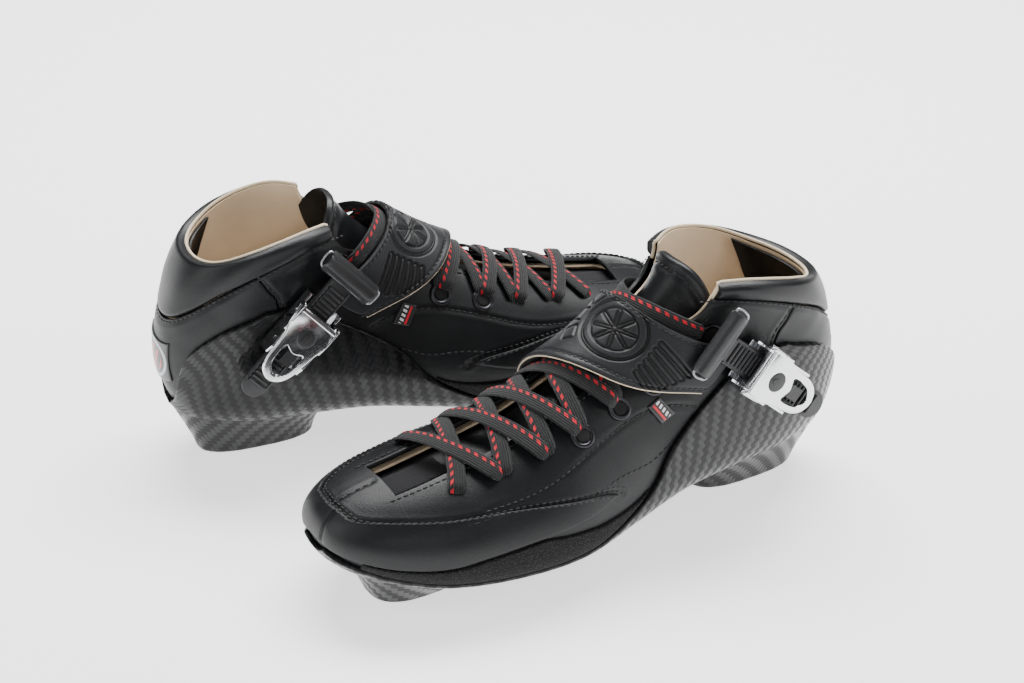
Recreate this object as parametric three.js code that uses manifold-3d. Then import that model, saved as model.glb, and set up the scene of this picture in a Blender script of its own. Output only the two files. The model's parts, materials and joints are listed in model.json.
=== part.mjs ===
// A pair of low-cut speed skating boots with a carbon shell, laces, an instep strap and a ratchet buckle.
// Millimetres, +Z up. Each boot is designed as a left boot, heel at x = 0, toe towards +x, outer side
// towards +y, sole at z = 0. The right boot is its mirror image.
import * as THREE from 'three';
import { mergeGeometries, mergeVertices } from 'three/addons/utils/BufferGeometryUtils.js';
import Module from 'manifold-3d';

const wasm = await Module();
wasm.setup();

// ---- Driving dimensions -------------------------------------------------------------------------

const LAST_LENGTH = 286;
const BALL_WIDTH = 97;
const COLLAR_HEIGHT = 127;
const MOUNT_SPACING = 195;
const HEEL_MOUNT_X = 48;
const UPPER_THICKNESS = 2;
const OVERLAY_THICKNESS = 1.2;
const SHELL_THICKNESS = 1.6;
const SHELL_LIFT = 1;
const LINING_DEPTH = 4.4;
const LINING_THICKNESS = 1;
const THROAT_START = 0.216;
const THROAT_HALF_GAP = 14;
const LACE_WIDTH = 8;
const LACE_THICKNESS = 1.4;
const STRAP_THICKNESS = 2;
const LADDER_WIDTH = 14;
const LADDER_LENGTH = 82;
const TOOTH_PITCH = 3.5;
const TOOTH_HEIGHT = 1;
const BUCKLE_WIDTH = 23;
const LEVER_LENGTH = 37;
const PLATE_THICKNESS = 1.2;
const PIN_RADIUS = 1.5;
const SMALL_PIN_RADIUS = 1;
const SCREW_RADIUS = 1.9;
const INSERT_LENGTH = 30;
const INSERT_WIDTH = 13;
const INSERT_HEIGHT = 4;
const THREAD_RADIUS = 2.5;
const CLEARANCE = 0.3;

// Where the two boots stand.
const BOOTS = [
  { name: 'left', mirrored: false, turn: 211.5, x: 75, y: 36 },
  { name: 'right', mirrored: true, turn: 22, x: -265, y: 22 },
];

// ---- Curves -------------------------------------------------------------------------------------

const RAD = Math.PI / 180;
const { lerp, clamp } = THREE.MathUtils;
const value = (f, ...args) => (typeof f === 'function' ? f(...args) : f);

// A smooth function through [x, y] points, level beyond both ends.
function smoothCurve(points) {
  const last = points.length - 1;
  const slopes = points.map((point, i) => {
    const before = points[Math.max(i - 1, 0)];
    const after = points[Math.min(i + 1, last)];
    return (after[1] - before[1]) / (after[0] - before[0]);
  });
  return (x) => {
    if (x <= points[0][0]) return points[0][1];
    if (x >= points[last][0]) return points[last][1];
    const i = points.findIndex((point) => point[0] > x) - 1;
    const span = points[i + 1][0] - points[i][0];
    const t = (x - points[i][0]) / span;
    const rise = points[i + 1][1] - points[i][1];
    const a = slopes[i] * span - rise;
    const b = rise - slopes[i + 1] * span;
    return points[i][1] + rise * t + t * (1 - t) * (a * (1 - t) + b * t);
  };
}

// ---- The last: the boot's outer skin --------------------------------------------------------------

// Sections from the toe to the collar. top and bottom are [x, z] in the middle plane; the widths go to
// the outer and the inner side; middle is the height of the widest line; the last two are the
// roundness of the upper and the lower half.
const SECTIONS = [
  { top: [286, 42], bottom: [286, 42], outer: -8, inner: 8, middle: 0.5, upper: 2, lower: 2 },
  { top: [283, 53], bottom: [284, 33], outer: 8, inner: 22, middle: 0.5, upper: 2, lower: 2 },
  { top: [273, 60], bottom: [276, 25], outer: 21, inner: 32, middle: 0.5, upper: 2, lower: 2.1 },
  { top: [258, 65], bottom: [262, 18], outer: 32, inner: 40, middle: 0.46, upper: 2.1, lower: 2.3 },
  { top: [238, 70], bottom: [238, 12], outer: 42, inner: 45, middle: 0.42, upper: 2.1, lower: 2.6 },
  { top: [212, 77], bottom: [206, 9], outer: 48, inner: 47, middle: 0.38, upper: 2.1, lower: 2.8 },
  { top: [187, 87], bottom: [172, 10], outer: 51, inner: 44, middle: 0.36, upper: 2, lower: 2.8 },
  { top: [166, 98], bottom: [138, 15], outer: 46, inner: 38, middle: 0.36, upper: 2, lower: 2.6 },
  { top: [149, 108], bottom: [103, 20], outer: 40, inner: 34, middle: 0.37, upper: 2, lower: 2.5 },
  { top: [136, 117], bottom: [68, 21], outer: 37, inner: 33, middle: 0.4, upper: 2, lower: 2.5 },
  { top: [126, 125], bottom: [36, 21], outer: 35, inner: 33, middle: 0.43, upper: 2.1, lower: 2.4 },
  { top: [118, 132], bottom: [13, 29], outer: 34, inner: 33, middle: 0.46, upper: 2.2, lower: 2.3 },
  { top: [112, 139], bottom: [3, 52], outer: 34, inner: 33, middle: 0.48, upper: 2.2, lower: 2.2 },
  { top: [107, 146], bottom: [3, 80], outer: 35, inner: 35, middle: 0.48, upper: 2.2, lower: 2.2 },
  { top: [104, 153], bottom: [11, 106], outer: 36, inner: 36, middle: 0.5, upper: 2.2, lower: 2.2 },
  { top: [103, 161], bottom: [20, 130], outer: 37, inner: 37, middle: 0.5, upper: 2.2, lower: 2.2 },
];
const NOMINAL = { length: 286, width: 95, height: 144 };
const SCALE = {
  x: LAST_LENGTH / NOMINAL.length,
  y: BALL_WIDTH / NOMINAL.width,
  z: COLLAR_HEIGHT / NOMINAL.height,
};

const sectionValues = SECTIONS.map((s) => [
  ...s.top, ...s.bottom, s.outer, s.inner, s.middle, s.upper, s.lower,
]);
// Past the toe the sections turn over, which rounds the tip.
const [topX, topZ, bottomX, bottomZ, outerY, innerY, ...rest] = sectionValues[1];
const beyondToe = [bottomX, bottomZ, topX, topZ, -innerY, -outerY, ...rest];
const beyondCollar = sectionValues.at(-1).map((v, i) => 2 * v - sectionValues.at(-2)[i]);
const control = [beyondToe, ...sectionValues, beyondCollar];

// The section at u: 0 at the toe, 1 at the collar.
function section(u) {
  const place = clamp(u, 0, 1) * (SECTIONS.length - 1);
  const k = Math.min(Math.floor(place), SECTIONS.length - 2);
  const f = place - k;
  const [a, b, c, d] = control.slice(k, k + 4);
  return b.map((_, i) => 0.5 * (2 * b[i] + (c[i] - a[i]) * f
    + (2 * a[i] - 5 * b[i] + 4 * c[i] - d[i]) * f * f
    + (3 * b[i] - 3 * c[i] + d[i] - a[i]) * f ** 3));
}

function sectionCentre(u) {
  const [tx, tz, bx, bz, outer, inner, middle] = section(u);
  return new THREE.Vector3(lerp(bx, tx, middle), (outer - inner) / 2, lerp(bz, tz, middle));
}

// A point of the skin. The angle is in degrees: 0 on top, 90 on the outer side, 180 below.
function surface(u, angle) {
  const [tx, tz, bx, bz, outer, inner, , upper, lower] = section(u);
  const centre = sectionCentre(u);
  const cosine = Math.cos(angle * RAD);
  const sine = Math.sin(angle * RAD);
  const power = 2 / (cosine >= 0 ? upper : lower);
  const along = Math.abs(cosine) ** power;
  const across = Math.sign(sine) * Math.abs(sine) ** power;
  const [endX, endZ] = cosine >= 0 ? [tx, tz] : [bx, bz];
  return new THREE.Vector3(
    SCALE.x * lerp(centre.x, endX, along),
    SCALE.y * (centre.y + across * (outer + inner) / 2),
    SCALE.z * lerp(centre.z, endZ, along),
  );
}

function skinNormal(u, angle) {
  if (u < 1e-6) return new THREE.Vector3(1, 0, 0);
  const step = 0.002;
  const alongU = surface(Math.min(u + step, 1), angle).sub(surface(Math.max(u - step, 0), angle));
  const around = surface(u, angle + 0.5).sub(surface(u, angle - 0.5));
  const normal = alongU.cross(around).normalize();
  const centre = sectionCentre(u);
  const outward = surface(u, angle).sub(new THREE.Vector3(
    SCALE.x * centre.x, SCALE.y * centre.y, SCALE.z * centre.z));
  return normal.dot(outward) < 0 ? normal.negate() : normal;
}

// A point that stands off the skin by lift, inside the boot where lift is negative.
const skin = (u, angle, lift = 0) => surface(u, angle).addScaledVector(skinNormal(u, angle), lift);

// The angle at which the skin lies a given distance from the middle plane.
function angleAtWidth(u, distance) {
  const [, , , , outer, inner, , upper] = section(u);
  const share = clamp(distance / SCALE.y / ((outer + inner) / 2), 0, 0.96);
  return Math.asin(share ** (upper / 2)) / RAD;
}

// The u at which a line drawn on the side of the boot, z = line(x), crosses the skin at an angle.
function crossing(line, angle) {
  let low = 0.6;
  let high = 1;
  for (let i = 0; i < 24; i += 1) {
    const u = (low + high) / 2;
    const point = surface(u, angle);
    if (point.z / SCALE.z < line(point.x / SCALE.x)) low = u;
    else high = u;
  }
  return low;
}

// The collar's top edge and its lower seam, seen from the side.
const rimLine = smoothCurve([[2, 126], [12, 128], [26, 131], [46, 138], [72, 144],
  [90, 143.5], [104, 139], [120, 132]]);
const seamLine = smoothCurve([[2, 88], [8, 94], [16, 102], [30, 114], [50, 125], [72, 133],
  [90, 135.5], [106, 133], [120, 129]]);
const rimAt = (angle) => crossing(rimLine, angle);
const seamAt = (angle) => crossing(seamLine, angle);

// ---- Closed bodies --------------------------------------------------------------------------------

// Welds a triangle soup into one closed body: drops flat triangles and inner walls that meet face to
// face, and turns the faces outwards.
function weld(...geometries) {
  const soups = geometries.map((geometry) => {
    const soup = geometry.index ? geometry.toNonIndexed() : geometry.clone();
    soup.deleteAttribute('normal');
    soup.deleteAttribute('uv');
    return soup;
  });
  const merged = mergeVertices(mergeGeometries(soups), 1e-3);
  const position = merged.getAttribute('position');
  const triangles = new Map();
  for (let i = 0; i < merged.index.count; i += 3) {
    const corners = [0, 1, 2].map((k) => merged.index.getX(i + k));
    if (new Set(corners).size < 3) continue;
    const key = [...corners].sort((a, b) => a - b).join();
    if (triangles.has(key)) triangles.delete(key);
    else triangles.set(key, corners);
  }
  const index = [...triangles.values()];
  const [a, b, c] = [0, 1, 2].map(() => new THREE.Vector3());
  let volume = 0;
  for (const corners of index) {
    a.fromBufferAttribute(position, corners[0]);
    b.fromBufferAttribute(position, corners[1]);
    c.fromBufferAttribute(position, corners[2]);
    volume += a.dot(b.cross(c));
  }
  merged.setIndex((volume < 0 ? index.map(([p, q, r]) => [p, r, q]) : index).flat());
  return merged;
}

function trianglesToGeometry(triangles) {
  const geometry = new THREE.BufferGeometry();
  geometry.setAttribute('position', new THREE.Float32BufferAttribute(
    triangles.flat().flatMap((point) => point.toArray()), 3));
  return geometry;
}

const quad = (a, b, c, d) => [[a, b, c], [a, c, d]];

// Rows that lie closer together at both ends of a layer, or only towards its end.
const closeAtEnds = (s) => s - 0.4 * Math.sin(2 * Math.PI * s) / (2 * Math.PI);
const closeAtEnd = (s) => 1 - (1 - s) ** 1.3;

// A layer of the boot, between two lifts off the skin. Its sides follow from and to, angles that may
// depend on u, and its ends follow start and end, values of u that may depend on the angle.
function layer({ from, to, start, end, inner, outer, rows, columns, spacing = (s) => s }) {
  const locate = (s, t) => {
    let u = lerp(value(start, 90), value(end, 90), s);
    let angle;
    for (let i = 0; i < 8; i += 1) {
      angle = lerp(value(from, u), value(to, u), t);
      u = lerp(value(start, angle), value(end, angle), s);
    }
    return [u, angle];
  };
  const sheet = (lift) => Array.from({ length: rows + 1 }, (_, i) => (
    Array.from({ length: columns + 1 }, (__, j) => {
      const [u, angle] = locate(spacing(i / rows), j / columns);
      return skin(u, angle, value(lift, u, angle));
    })));
  const top = sheet(outer);
  const base = sheet(inner);
  const triangles = [];
  for (let i = 0; i < rows; i += 1) {
    for (let j = 0; j < columns; j += 1) {
      triangles.push(...quad(top[i][j], top[i + 1][j], top[i + 1][j + 1], top[i][j + 1]));
      triangles.push(...quad(base[i][j + 1], base[i + 1][j + 1], base[i + 1][j], base[i][j]));
    }
    triangles.push(...quad(base[i][0], base[i + 1][0], top[i + 1][0], top[i][0]));
    triangles.push(...quad(base[i][columns], base[i + 1][columns], top[i + 1][columns], top[i][columns])
      .map(([p, q, r]) => [p, r, q]));
  }
  for (let j = 0; j < columns; j += 1) {
    triangles.push(...quad(base[0][j], top[0][j], top[0][j + 1], base[0][j + 1]));
    triangles.push(...quad(base[rows][j], top[rows][j], top[rows][j + 1], base[rows][j + 1])
      .map(([p, q, r]) => [p, r, q]));
  }
  return trianglesToGeometry(triangles);
}

// A body through a row of rings of points, with flat ends.
function loft(rings) {
  const triangles = [];
  const count = rings[0].length;
  rings.slice(1).forEach((ring, i) => {
    for (let j = 0; j < count; j += 1) {
      const k = (j + 1) % count;
      triangles.push(...quad(rings[i][j], rings[i][k], ring[k], ring[j]));
    }
  });
  const [first, last] = [rings[0], rings.at(-1)];
  for (let j = 1; j < count - 1; j += 1) {
    triangles.push([first[0], first[j + 1], first[j]]);
    triangles.push([last[0], last[j], last[j + 1]]);
  }
  return trianglesToGeometry(triangles);
}

function toSolid(geometry) {
  const welded = weld(geometry);
  return new wasm.Manifold(new wasm.Mesh({
    numProp: 3,
    vertProperties: new Float32Array(welded.getAttribute('position').array),
    triVerts: new Uint32Array(welded.index.array),
  }));
}

function fromSolid(solid) {
  const mesh = solid.getMesh();
  const geometry = new THREE.BufferGeometry();
  geometry.setAttribute('position', new THREE.BufferAttribute(mesh.vertProperties, 3));
  geometry.setIndex(new THREE.BufferAttribute(mesh.triVerts, 1));
  return geometry;
}

const joined = (...parts) => fromSolid(parts.map(toSolid).reduce((a, b) => a.add(b)));
const cut = (part, ...tools) => fromSolid(tools.map(toSolid).reduce((a, b) => a.subtract(b), toSolid(part)));

// An outline in [x, z], made a plate of a given width across y.
function plateAcross(points, width, y = 0, holes = []) {
  const shape = new THREE.Shape(points.map(([x, z]) => new THREE.Vector2(x, z)));
  for (const [x, z, radius] of holes) {
    shape.holes.push(new THREE.Path().absarc(x, z, radius, 0, 2 * Math.PI, true));
  }
  const geometry = new THREE.ExtrudeGeometry(shape, { depth: width, bevelEnabled: false, curveSegments: 6 });
  return geometry.rotateX(Math.PI / 2).translate(0, y + width / 2, 0);
}

// An outline in [x, y], made a plate between two heights.
function plateUp(shape, low, high, curveSegments = 3) {
  const settings = { depth: high - low, bevelEnabled: false, curveSegments };
  return new THREE.ExtrudeGeometry(shape, settings).translate(0, 0, low);
}

function box(low, high) {
  const size = high.map((v, i) => v - low[i]);
  return new THREE.BoxGeometry(...size).translate(...high.map((v, i) => (v + low[i]) / 2));
}

// A round bar across y.
const barAcross = (radius, length, x, z, sides = 12) => (
  new THREE.CylinderGeometry(radius, radius, length, sides).translate(x, 0, z));
// A round bar along z.
const barUp = (radius, low, high, x, y = 0, sides = 12) => (
  new THREE.CylinderGeometry(radius, radius, high - low, sides).rotateX(Math.PI / 2)
    .translate(x, y, (low + high) / 2));

function roundedRectangle(length, width, radius) {
  const [x, y] = [length / 2, width / 2];
  const shape = new THREE.Shape();
  shape.moveTo(-x + radius, -y);
  shape.absarc(x - radius, -y + radius, radius, -Math.PI / 2, 0);
  shape.absarc(x - radius, y - radius, radius, 0, Math.PI / 2);
  shape.absarc(-x + radius, y - radius, radius, Math.PI / 2, Math.PI);
  shape.absarc(-x + radius, -y + radius, radius, Math.PI, 1.5 * Math.PI);
  return shape;
}

// ---- Leather upper --------------------------------------------------------------------------------

const throatGap = smoothCurve([[0.2, THROAT_HALF_GAP], [0.5, THROAT_HALF_GAP + 1], [0.66, THROAT_HALF_GAP + 4],
  [0.78, THROAT_HALF_GAP + 10], [0.9, THROAT_HALF_GAP + 14]]);
const throatEdge = (u) => angleAtWidth(u, throatGap(u));
const throatFront = throatEdge(THROAT_START);
// The seam between the quarters and the heel counter, which runs on under the shell.
const lowerEdge = smoothCurve([[0.05, 178], [0.14, 150], [0.5, 138], [0.62, 112], [0.72, 94], [0.81, 87],
  [0.86, 88], [0.93, 100], [0.98, 122]]);
const counterStart = 0.7;
const seamWidth = 0.0035;
const mirrorRegion = (region) => ({
  ...region,
  from: (u) => -value(region.to, u),
  to: (u) => -value(region.from, u),
});

function makeUpper() {
  const common = { inner: -UPPER_THICKNESS, outer: 0 };
  const vampSide = { ...common, from: throatFront, to: lowerEdge, start: 0, end: THROAT_START, rows: 5, columns: 6 };
  const vampMiddle = { ...common, from: -throatFront, to: throatFront, start: 0, end: THROAT_START, rows: 5, columns: 2 };
  const quarter = {
    ...common, from: throatEdge, to: lowerEdge, start: THROAT_START, rows: 12, columns: 6,
    end: (angle) => seamAt(Math.abs(angle)) - seamWidth,
  };
  const regions = [vampSide, mirrorRegion(vampSide), vampMiddle, quarter, mirrorRegion(quarter)];
  return weld(...regions.map(layer));
}

const counterEdge = (u) => lowerEdge(u) + 1.2;
const makeHeelCounter = () => weld(layer({
  from: counterEdge, to: (u) => 360 - counterEdge(u), start: counterStart,
  end: (angle) => seamAt(angle) - seamWidth, inner: -UPPER_THICKNESS, outer: -0.6, rows: 7, columns: 12,
}));

const COLLAR_DEPTH = 3.4;
const makeCollar = () => weld(layer({
  from: (u) => throatEdge(u) + 1, to: (u) => 359 - throatEdge(u), start: (angle) => seamAt(angle) + seamWidth,
  end: (angle) => rimAt(angle), inner: -COLLAR_DEPTH, outer: 0.8, rows: 3, columns: 20,
}));

// The rand is lapped over the toe and runs back along both sides.
const randTop = smoothCurve([[0, 0.105], [25, 0.115], [42, 0.14], [52, 0.24], [58, 0.33], [72, 0.42],
  [84, 0.455], [180, 0.46]]);
const randBottom = smoothCurve([[0, 112], [0.1, 108], [0.22, 97], [0.33, 84], [0.45, 82]]);
const makeToeRand = () => weld(layer({
  from: (u) => -randBottom(u), to: randBottom, start: 0, end: (angle) => randTop(Math.abs(angle)),
  inner: SHELL_LIFT, outer: SHELL_LIFT + OVERLAY_THICKNESS, rows: 8, columns: 24,
}));

// Rubbed scuff patches between the rand and the sole.
const soleEdge = smoothCurve([[0.03, 128], [0.12, 124], [0.3, 118], [0.42, 112], [0.501, 92], [0.549, 80],
  [0.621, 73], [0.709, 72.5], [0.788, 79], [0.835, 92]]);
const patchRegion = {
  from: (u) => randBottom(u) + 1.5, to: (u) => soleEdge(u) - 1.5, start: 0.13, end: 0.49,
  inner: SHELL_LIFT, outer: SHELL_LIFT + OVERLAY_THICKNESS, rows: 9, columns: 2,
};

const makeLining = () => weld(layer({
  from: (u) => Math.max(0.8, throatEdge(u) * smoothCurve([[0.2, 0], [0.26, 1]])(u)),
  to: (u) => 360 - Math.max(0.8, throatEdge(u) * smoothCurve([[0.2, 0], [0.26, 1]])(u)),
  start: 0.05, end: (angle) => rimAt(angle) - 0.004,
  inner: -LINING_DEPTH - LINING_THICKNESS, outer: -LINING_DEPTH, rows: 15, columns: 20, spacing: closeAtEnd,
}));

const TONGUE_DEPTH = LINING_DEPTH + LINING_THICKNESS + 1.8;
const tongueHalfWidth = smoothCurve([[0.15, 17], [0.4, 24], [0.7, 27], [0.9, 27]]);
const tongueEdge = (u) => angleAtWidth(u, tongueHalfWidth(u));
const makeTongue = () => weld(layer({
  from: (u) => -tongueEdge(u), to: tongueEdge, start: 0.17,
  end: (angle) => 0.93 - 0.1 * (Math.abs(angle) / 55) ** 2.4,
  inner: -TONGUE_DEPTH - 3, outer: -TONGUE_DEPTH, rows: 12, columns: 5,
}));

const makeFootbed = () => weld(layer({
  from: 132, to: 228, start: 0.1, end: 0.715,
  inner: -TONGUE_DEPTH - 3, outer: -TONGUE_DEPTH, rows: 10, columns: 4, spacing: closeAtEnd,
}));

const HEEL_LINING_DEPTH = LINING_DEPTH + LINING_THICKNESS + 0.9;
const makeHeelLining = () => weld(layer({
  from: 122, to: 238, start: 0.86, end: (angle) => rimAt(angle) - 0.012,
  inner: -HEEL_LINING_DEPTH - 1.2, outer: -HEEL_LINING_DEPTH, rows: 3, columns: 10,
}));

const makeHeelBadge = () => weld(layer({
  from: 158, to: 202, start: 0.802, end: 0.862,
  inner: 0, outer: 0.8, rows: 2, columns: 4,
}));

const makeSideTag = () => weld(layer({
  from: 55, to: 67, start: 0.553, end: 0.58,
  inner: 0.4, outer: 1.2, rows: 1, columns: 3,
}));

// ---- Carbon shell with its two mounting blocks ----------------------------------------------------

// The shell's top edge round the heel.
const heelEdge = smoothCurve([[92, 0.835], [113, 0.852], [130, 0.848], [142, 0.832], [158, 0.78], [180, 0.757]]);
const SHELL_TOP = SHELL_LIFT + SHELL_THICKNESS;

// A block between the sole and the floor, from rings given as centre x, z, half length, half width.
function mountBlock(levels) {
  const rings = levels.map(([x, z, halfLength, halfWidth]) => Array.from({ length: 24 }, (_, i) => {
    const angle = i * 15 * RAD;
    const round = (v) => Math.sign(v) * Math.abs(v) ** 0.72;
    return new THREE.Vector3(
      x + halfLength * round(Math.cos(angle)), halfWidth * round(Math.sin(angle)), z);
  }));
  return loft(rings);
}

const FRONT_MOUNT_X = HEEL_MOUNT_X + MOUNT_SPACING;
const heelLevels = [[2, 0, 31, 16], [1, 5, 34, 19], [0, 12, 37, 24], [0, 19, 38.5, 27.5], [1, 28, 38, 29]];
const frontLevels = [[-3, 0, 24, 18], [-4, 6, 28, 23], [-5, 12, 31, 29]];
const placed = (levels, x) => levels.map(([offset, z, length, width]) => [x + offset, z, length, width]);

const pocket = (x) => plateUp(
  roundedRectangle(INSERT_LENGTH + 2 * CLEARANCE, INSERT_WIDTH + 2 * CLEARANCE, 3), -1, INSERT_HEIGHT + CLEARANCE,
).translate(x, 0, 0);

function makeMountInsert(x) {
  const shape = roundedRectangle(INSERT_LENGTH, INSERT_WIDTH, 3);
  shape.holes.push(new THREE.Path().absarc(0, 0, THREAD_RADIUS, 0, 2 * Math.PI, true));
  return weld(plateUp(shape, 0, INSERT_HEIGHT).translate(x, 0, 0));
}

const shellRegion = {
  from: soleEdge, to: (u) => 360 - soleEdge(u), start: 0.05,
  end: (angle) => heelEdge(angle > 180 ? 360 - angle : angle), rows: 21, columns: 16,
  spacing: closeAtEnds,
};

function makeCarbonShell() {
  const wall = layer({ ...shellRegion, inner: SHELL_LIFT, outer: SHELL_TOP });
  const inside = layer({ ...shellRegion, inner: -14, outer: SHELL_LIFT + 0.4 });
  const blocks = [placed(heelLevels, HEEL_MOUNT_X), placed(frontLevels, FRONT_MOUNT_X)]
    .map((levels) => cut(mountBlock(levels), inside));
  return cut(joined(wall, ...blocks), pocket(HEEL_MOUNT_X), pocket(FRONT_MOUNT_X), screwHole());
}

// ---- Lace -----------------------------------------------------------------------------------------

// Lace holes from the toe to the collar, as [u, angle].
const laceHoles = [[0.285, 37], [0.342, 38], [0.398, 40], [0.45, 41.5], [0.518, 45], [0.59, 48], [0.66, 51], [0.765, 55]];
const LACE_LIFTS = [1.5, 2.2];

// A flat band over the skin, from one hole to another.
function laceBand([fromU, fromAngle], [toU, toAngle], lift) {
  const steps = 5;
  const rings = [];
  for (let i = 0; i <= steps; i += 1) {
    const t = lerp(-0.05, 1.05, i / steps);
    const at = (s) => skin(lerp(fromU, toU, s), lerp(fromAngle, toAngle, s), 0);
    const along = at(t + 0.02).sub(at(t - 0.02)).normalize();
    const up = skinNormal(lerp(fromU, toU, t), lerp(fromAngle, toAngle, t));
    const side = up.clone().cross(along).normalize().multiplyScalar(LACE_WIDTH / 2);
    const low = at(t).addScaledVector(up, lift);
    const high = at(t).addScaledVector(up, lift + LACE_THICKNESS);
    rings.push([low.clone().sub(side), low.clone().add(side), high.clone().add(side), high.clone().sub(side)]);
  }
  return loft(rings);
}

function makeLace() {
  const bands = [];
  laceHoles.slice(1).forEach((hole, i) => {
    const [u, angle] = laceHoles[i];
    bands.push(laceBand([u, angle], [hole[0], -hole[1]], LACE_LIFTS[0]));
    bands.push(laceBand([u, -angle], hole, LACE_LIFTS[1]));
  });
  return joined(...bands);
}

// ---- Instep strap ---------------------------------------------------------------------------------

const STRAP_START = -69;
const STRAP_END = 66;
const strapFront = smoothCurve([[-78, 0.455], [-30, 0.475], [25, 0.524], [45, 0.56], [66, 0.635]]);
const strapBack = smoothCurve([[-78, 0.62], [-30, 0.69], [0, 0.7], [25, 0.708], [45, 0.73], [66, 0.77]]);
const strapLift = smoothCurve([[STRAP_START, 1], [-62, 2], [-52, 5.4], [46, 5.4], [STRAP_END, 3.4]]);
const makeInstepStrap = () => weld(layer({
  from: STRAP_START, to: STRAP_END, start: strapFront, end: strapBack,
  inner: (u, angle) => strapLift(angle), outer: (u, angle) => strapLift(angle) + STRAP_THICKNESS,
  rows: 5, columns: 15,
}));

// ---- Ratchet buckle, in its own frame: x along the ladder strap, z away from the boot -----------------

const BUCKLE_SPOT = { u: 0.757, angle: 77, slope: 41 };
const buckleFrame = (() => {
  const normal = skinNormal(BUCKLE_SPOT.u, BUCKLE_SPOT.angle);
  const slope = BUCKLE_SPOT.slope * RAD;
  const along = new THREE.Vector3(-Math.cos(slope), 0, -Math.sin(slope));
  along.addScaledVector(normal, -along.dot(normal)).normalize();
  const across = normal.clone().cross(along);
  const origin = surface(BUCKLE_SPOT.u, BUCKLE_SPOT.angle);
  const frame = new THREE.Matrix4().makeBasis(along, across, normal).setPosition(origin);
  const inverse = frame.clone().invert();
  let seat = 0;
  for (let u = 0.6; u < 0.95; u += 0.01) {
    for (let angle = 50; angle < 130; angle += 2) {
      const point = skin(u, angle, SHELL_TOP).applyMatrix4(inverse);
      if (Math.abs(point.y) < BUCKLE_WIDTH / 2 && point.x > -10 && point.x < 28) seat = Math.max(seat, point.z);
    }
  }
  return frame.setPosition(origin.addScaledVector(normal, seat + CLEARANCE));
})();
const SEAT_HEIGHT = surface(BUCKLE_SPOT.u, BUCKLE_SPOT.angle)
  .distanceTo(new THREE.Vector3().setFromMatrixPosition(buckleFrame));

const LADDER_LOW = PLATE_THICKNESS + 1.5;
const LADDER_THICKNESS = 1.6;
const TEETH_TOP = LADDER_LOW + LADDER_THICKNESS + TOOTH_HEIGHT;
const PIN_HEIGHT = TEETH_TOP + 1.7;
const LUG_RADIUS = PIN_RADIUS + 1.9;
const LEVER_LOW = PIN_HEIGHT + LUG_RADIUS + 0.4;
const LEVER_TOP = LEVER_LOW + 1.4;
const WALL_THICKNESS = 1.2;
const WALL_CENTRE = BUCKLE_WIDTH / 2 - WALL_THICKNESS / 2;
const FLANGE_CENTRE = BUCKLE_WIDTH / 2 + CLEARANCE + WALL_THICKNESS / 2;
const EAR_CENTRE = 5.8;
const DRIVE_PIN = [6, PIN_HEIGHT + 1.4];
const RELEASE_PIN = [19, PIN_HEIGHT + 0.6];
const PAWL_GAP = 0.35;
const SCREW_X = 12;
const NUT_DEPTH = 3.7;
const LADDER_START = -32;
const CAP_LENGTH = 12;
const CAP_WIDTH = 34;

const inBoot = (geometry) => geometry.applyMatrix4(buckleFrame);
const NUT_LOW = -SEAT_HEIGHT - NUT_DEPTH;
const screwHole = () => inBoot(barUp(SCREW_RADIUS + CLEARANCE, -12, 2, SCREW_X));
const bothSides = (make) => [make(1), make(-1)];

function makeBuckleBase() {
  const plate = box([-9, -BUCKLE_WIDTH / 2, 0], [27, BUCKLE_WIDTH / 2, PLATE_THICKNESS]);
  const outline = [[-9, 0], [27, 0], [27, PIN_HEIGHT + 2], [23, LEVER_LOW - 0.5], [5, LEVER_LOW - 0.5]];
  for (let angle = 60; angle <= 180; angle += 30) {
    outline.push([LUG_RADIUS * Math.cos(angle * RAD), PIN_HEIGHT + LUG_RADIUS * Math.sin(angle * RAD)]);
  }
  outline.push([-4.4, TEETH_TOP], [-9, TEETH_TOP]);
  const holes = [[0, PIN_HEIGHT, PIN_RADIUS + CLEARANCE], [...RELEASE_PIN, SMALL_PIN_RADIUS + CLEARANCE]];
  const walls = bothSides((side) => plateAcross(outline, WALL_THICKNESS, side * WALL_CENTRE, holes));
  return inBoot(cut(joined(plate, ...walls), barUp(SCREW_RADIUS + CLEARANCE, -1, 3, SCREW_X)));
}

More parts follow.
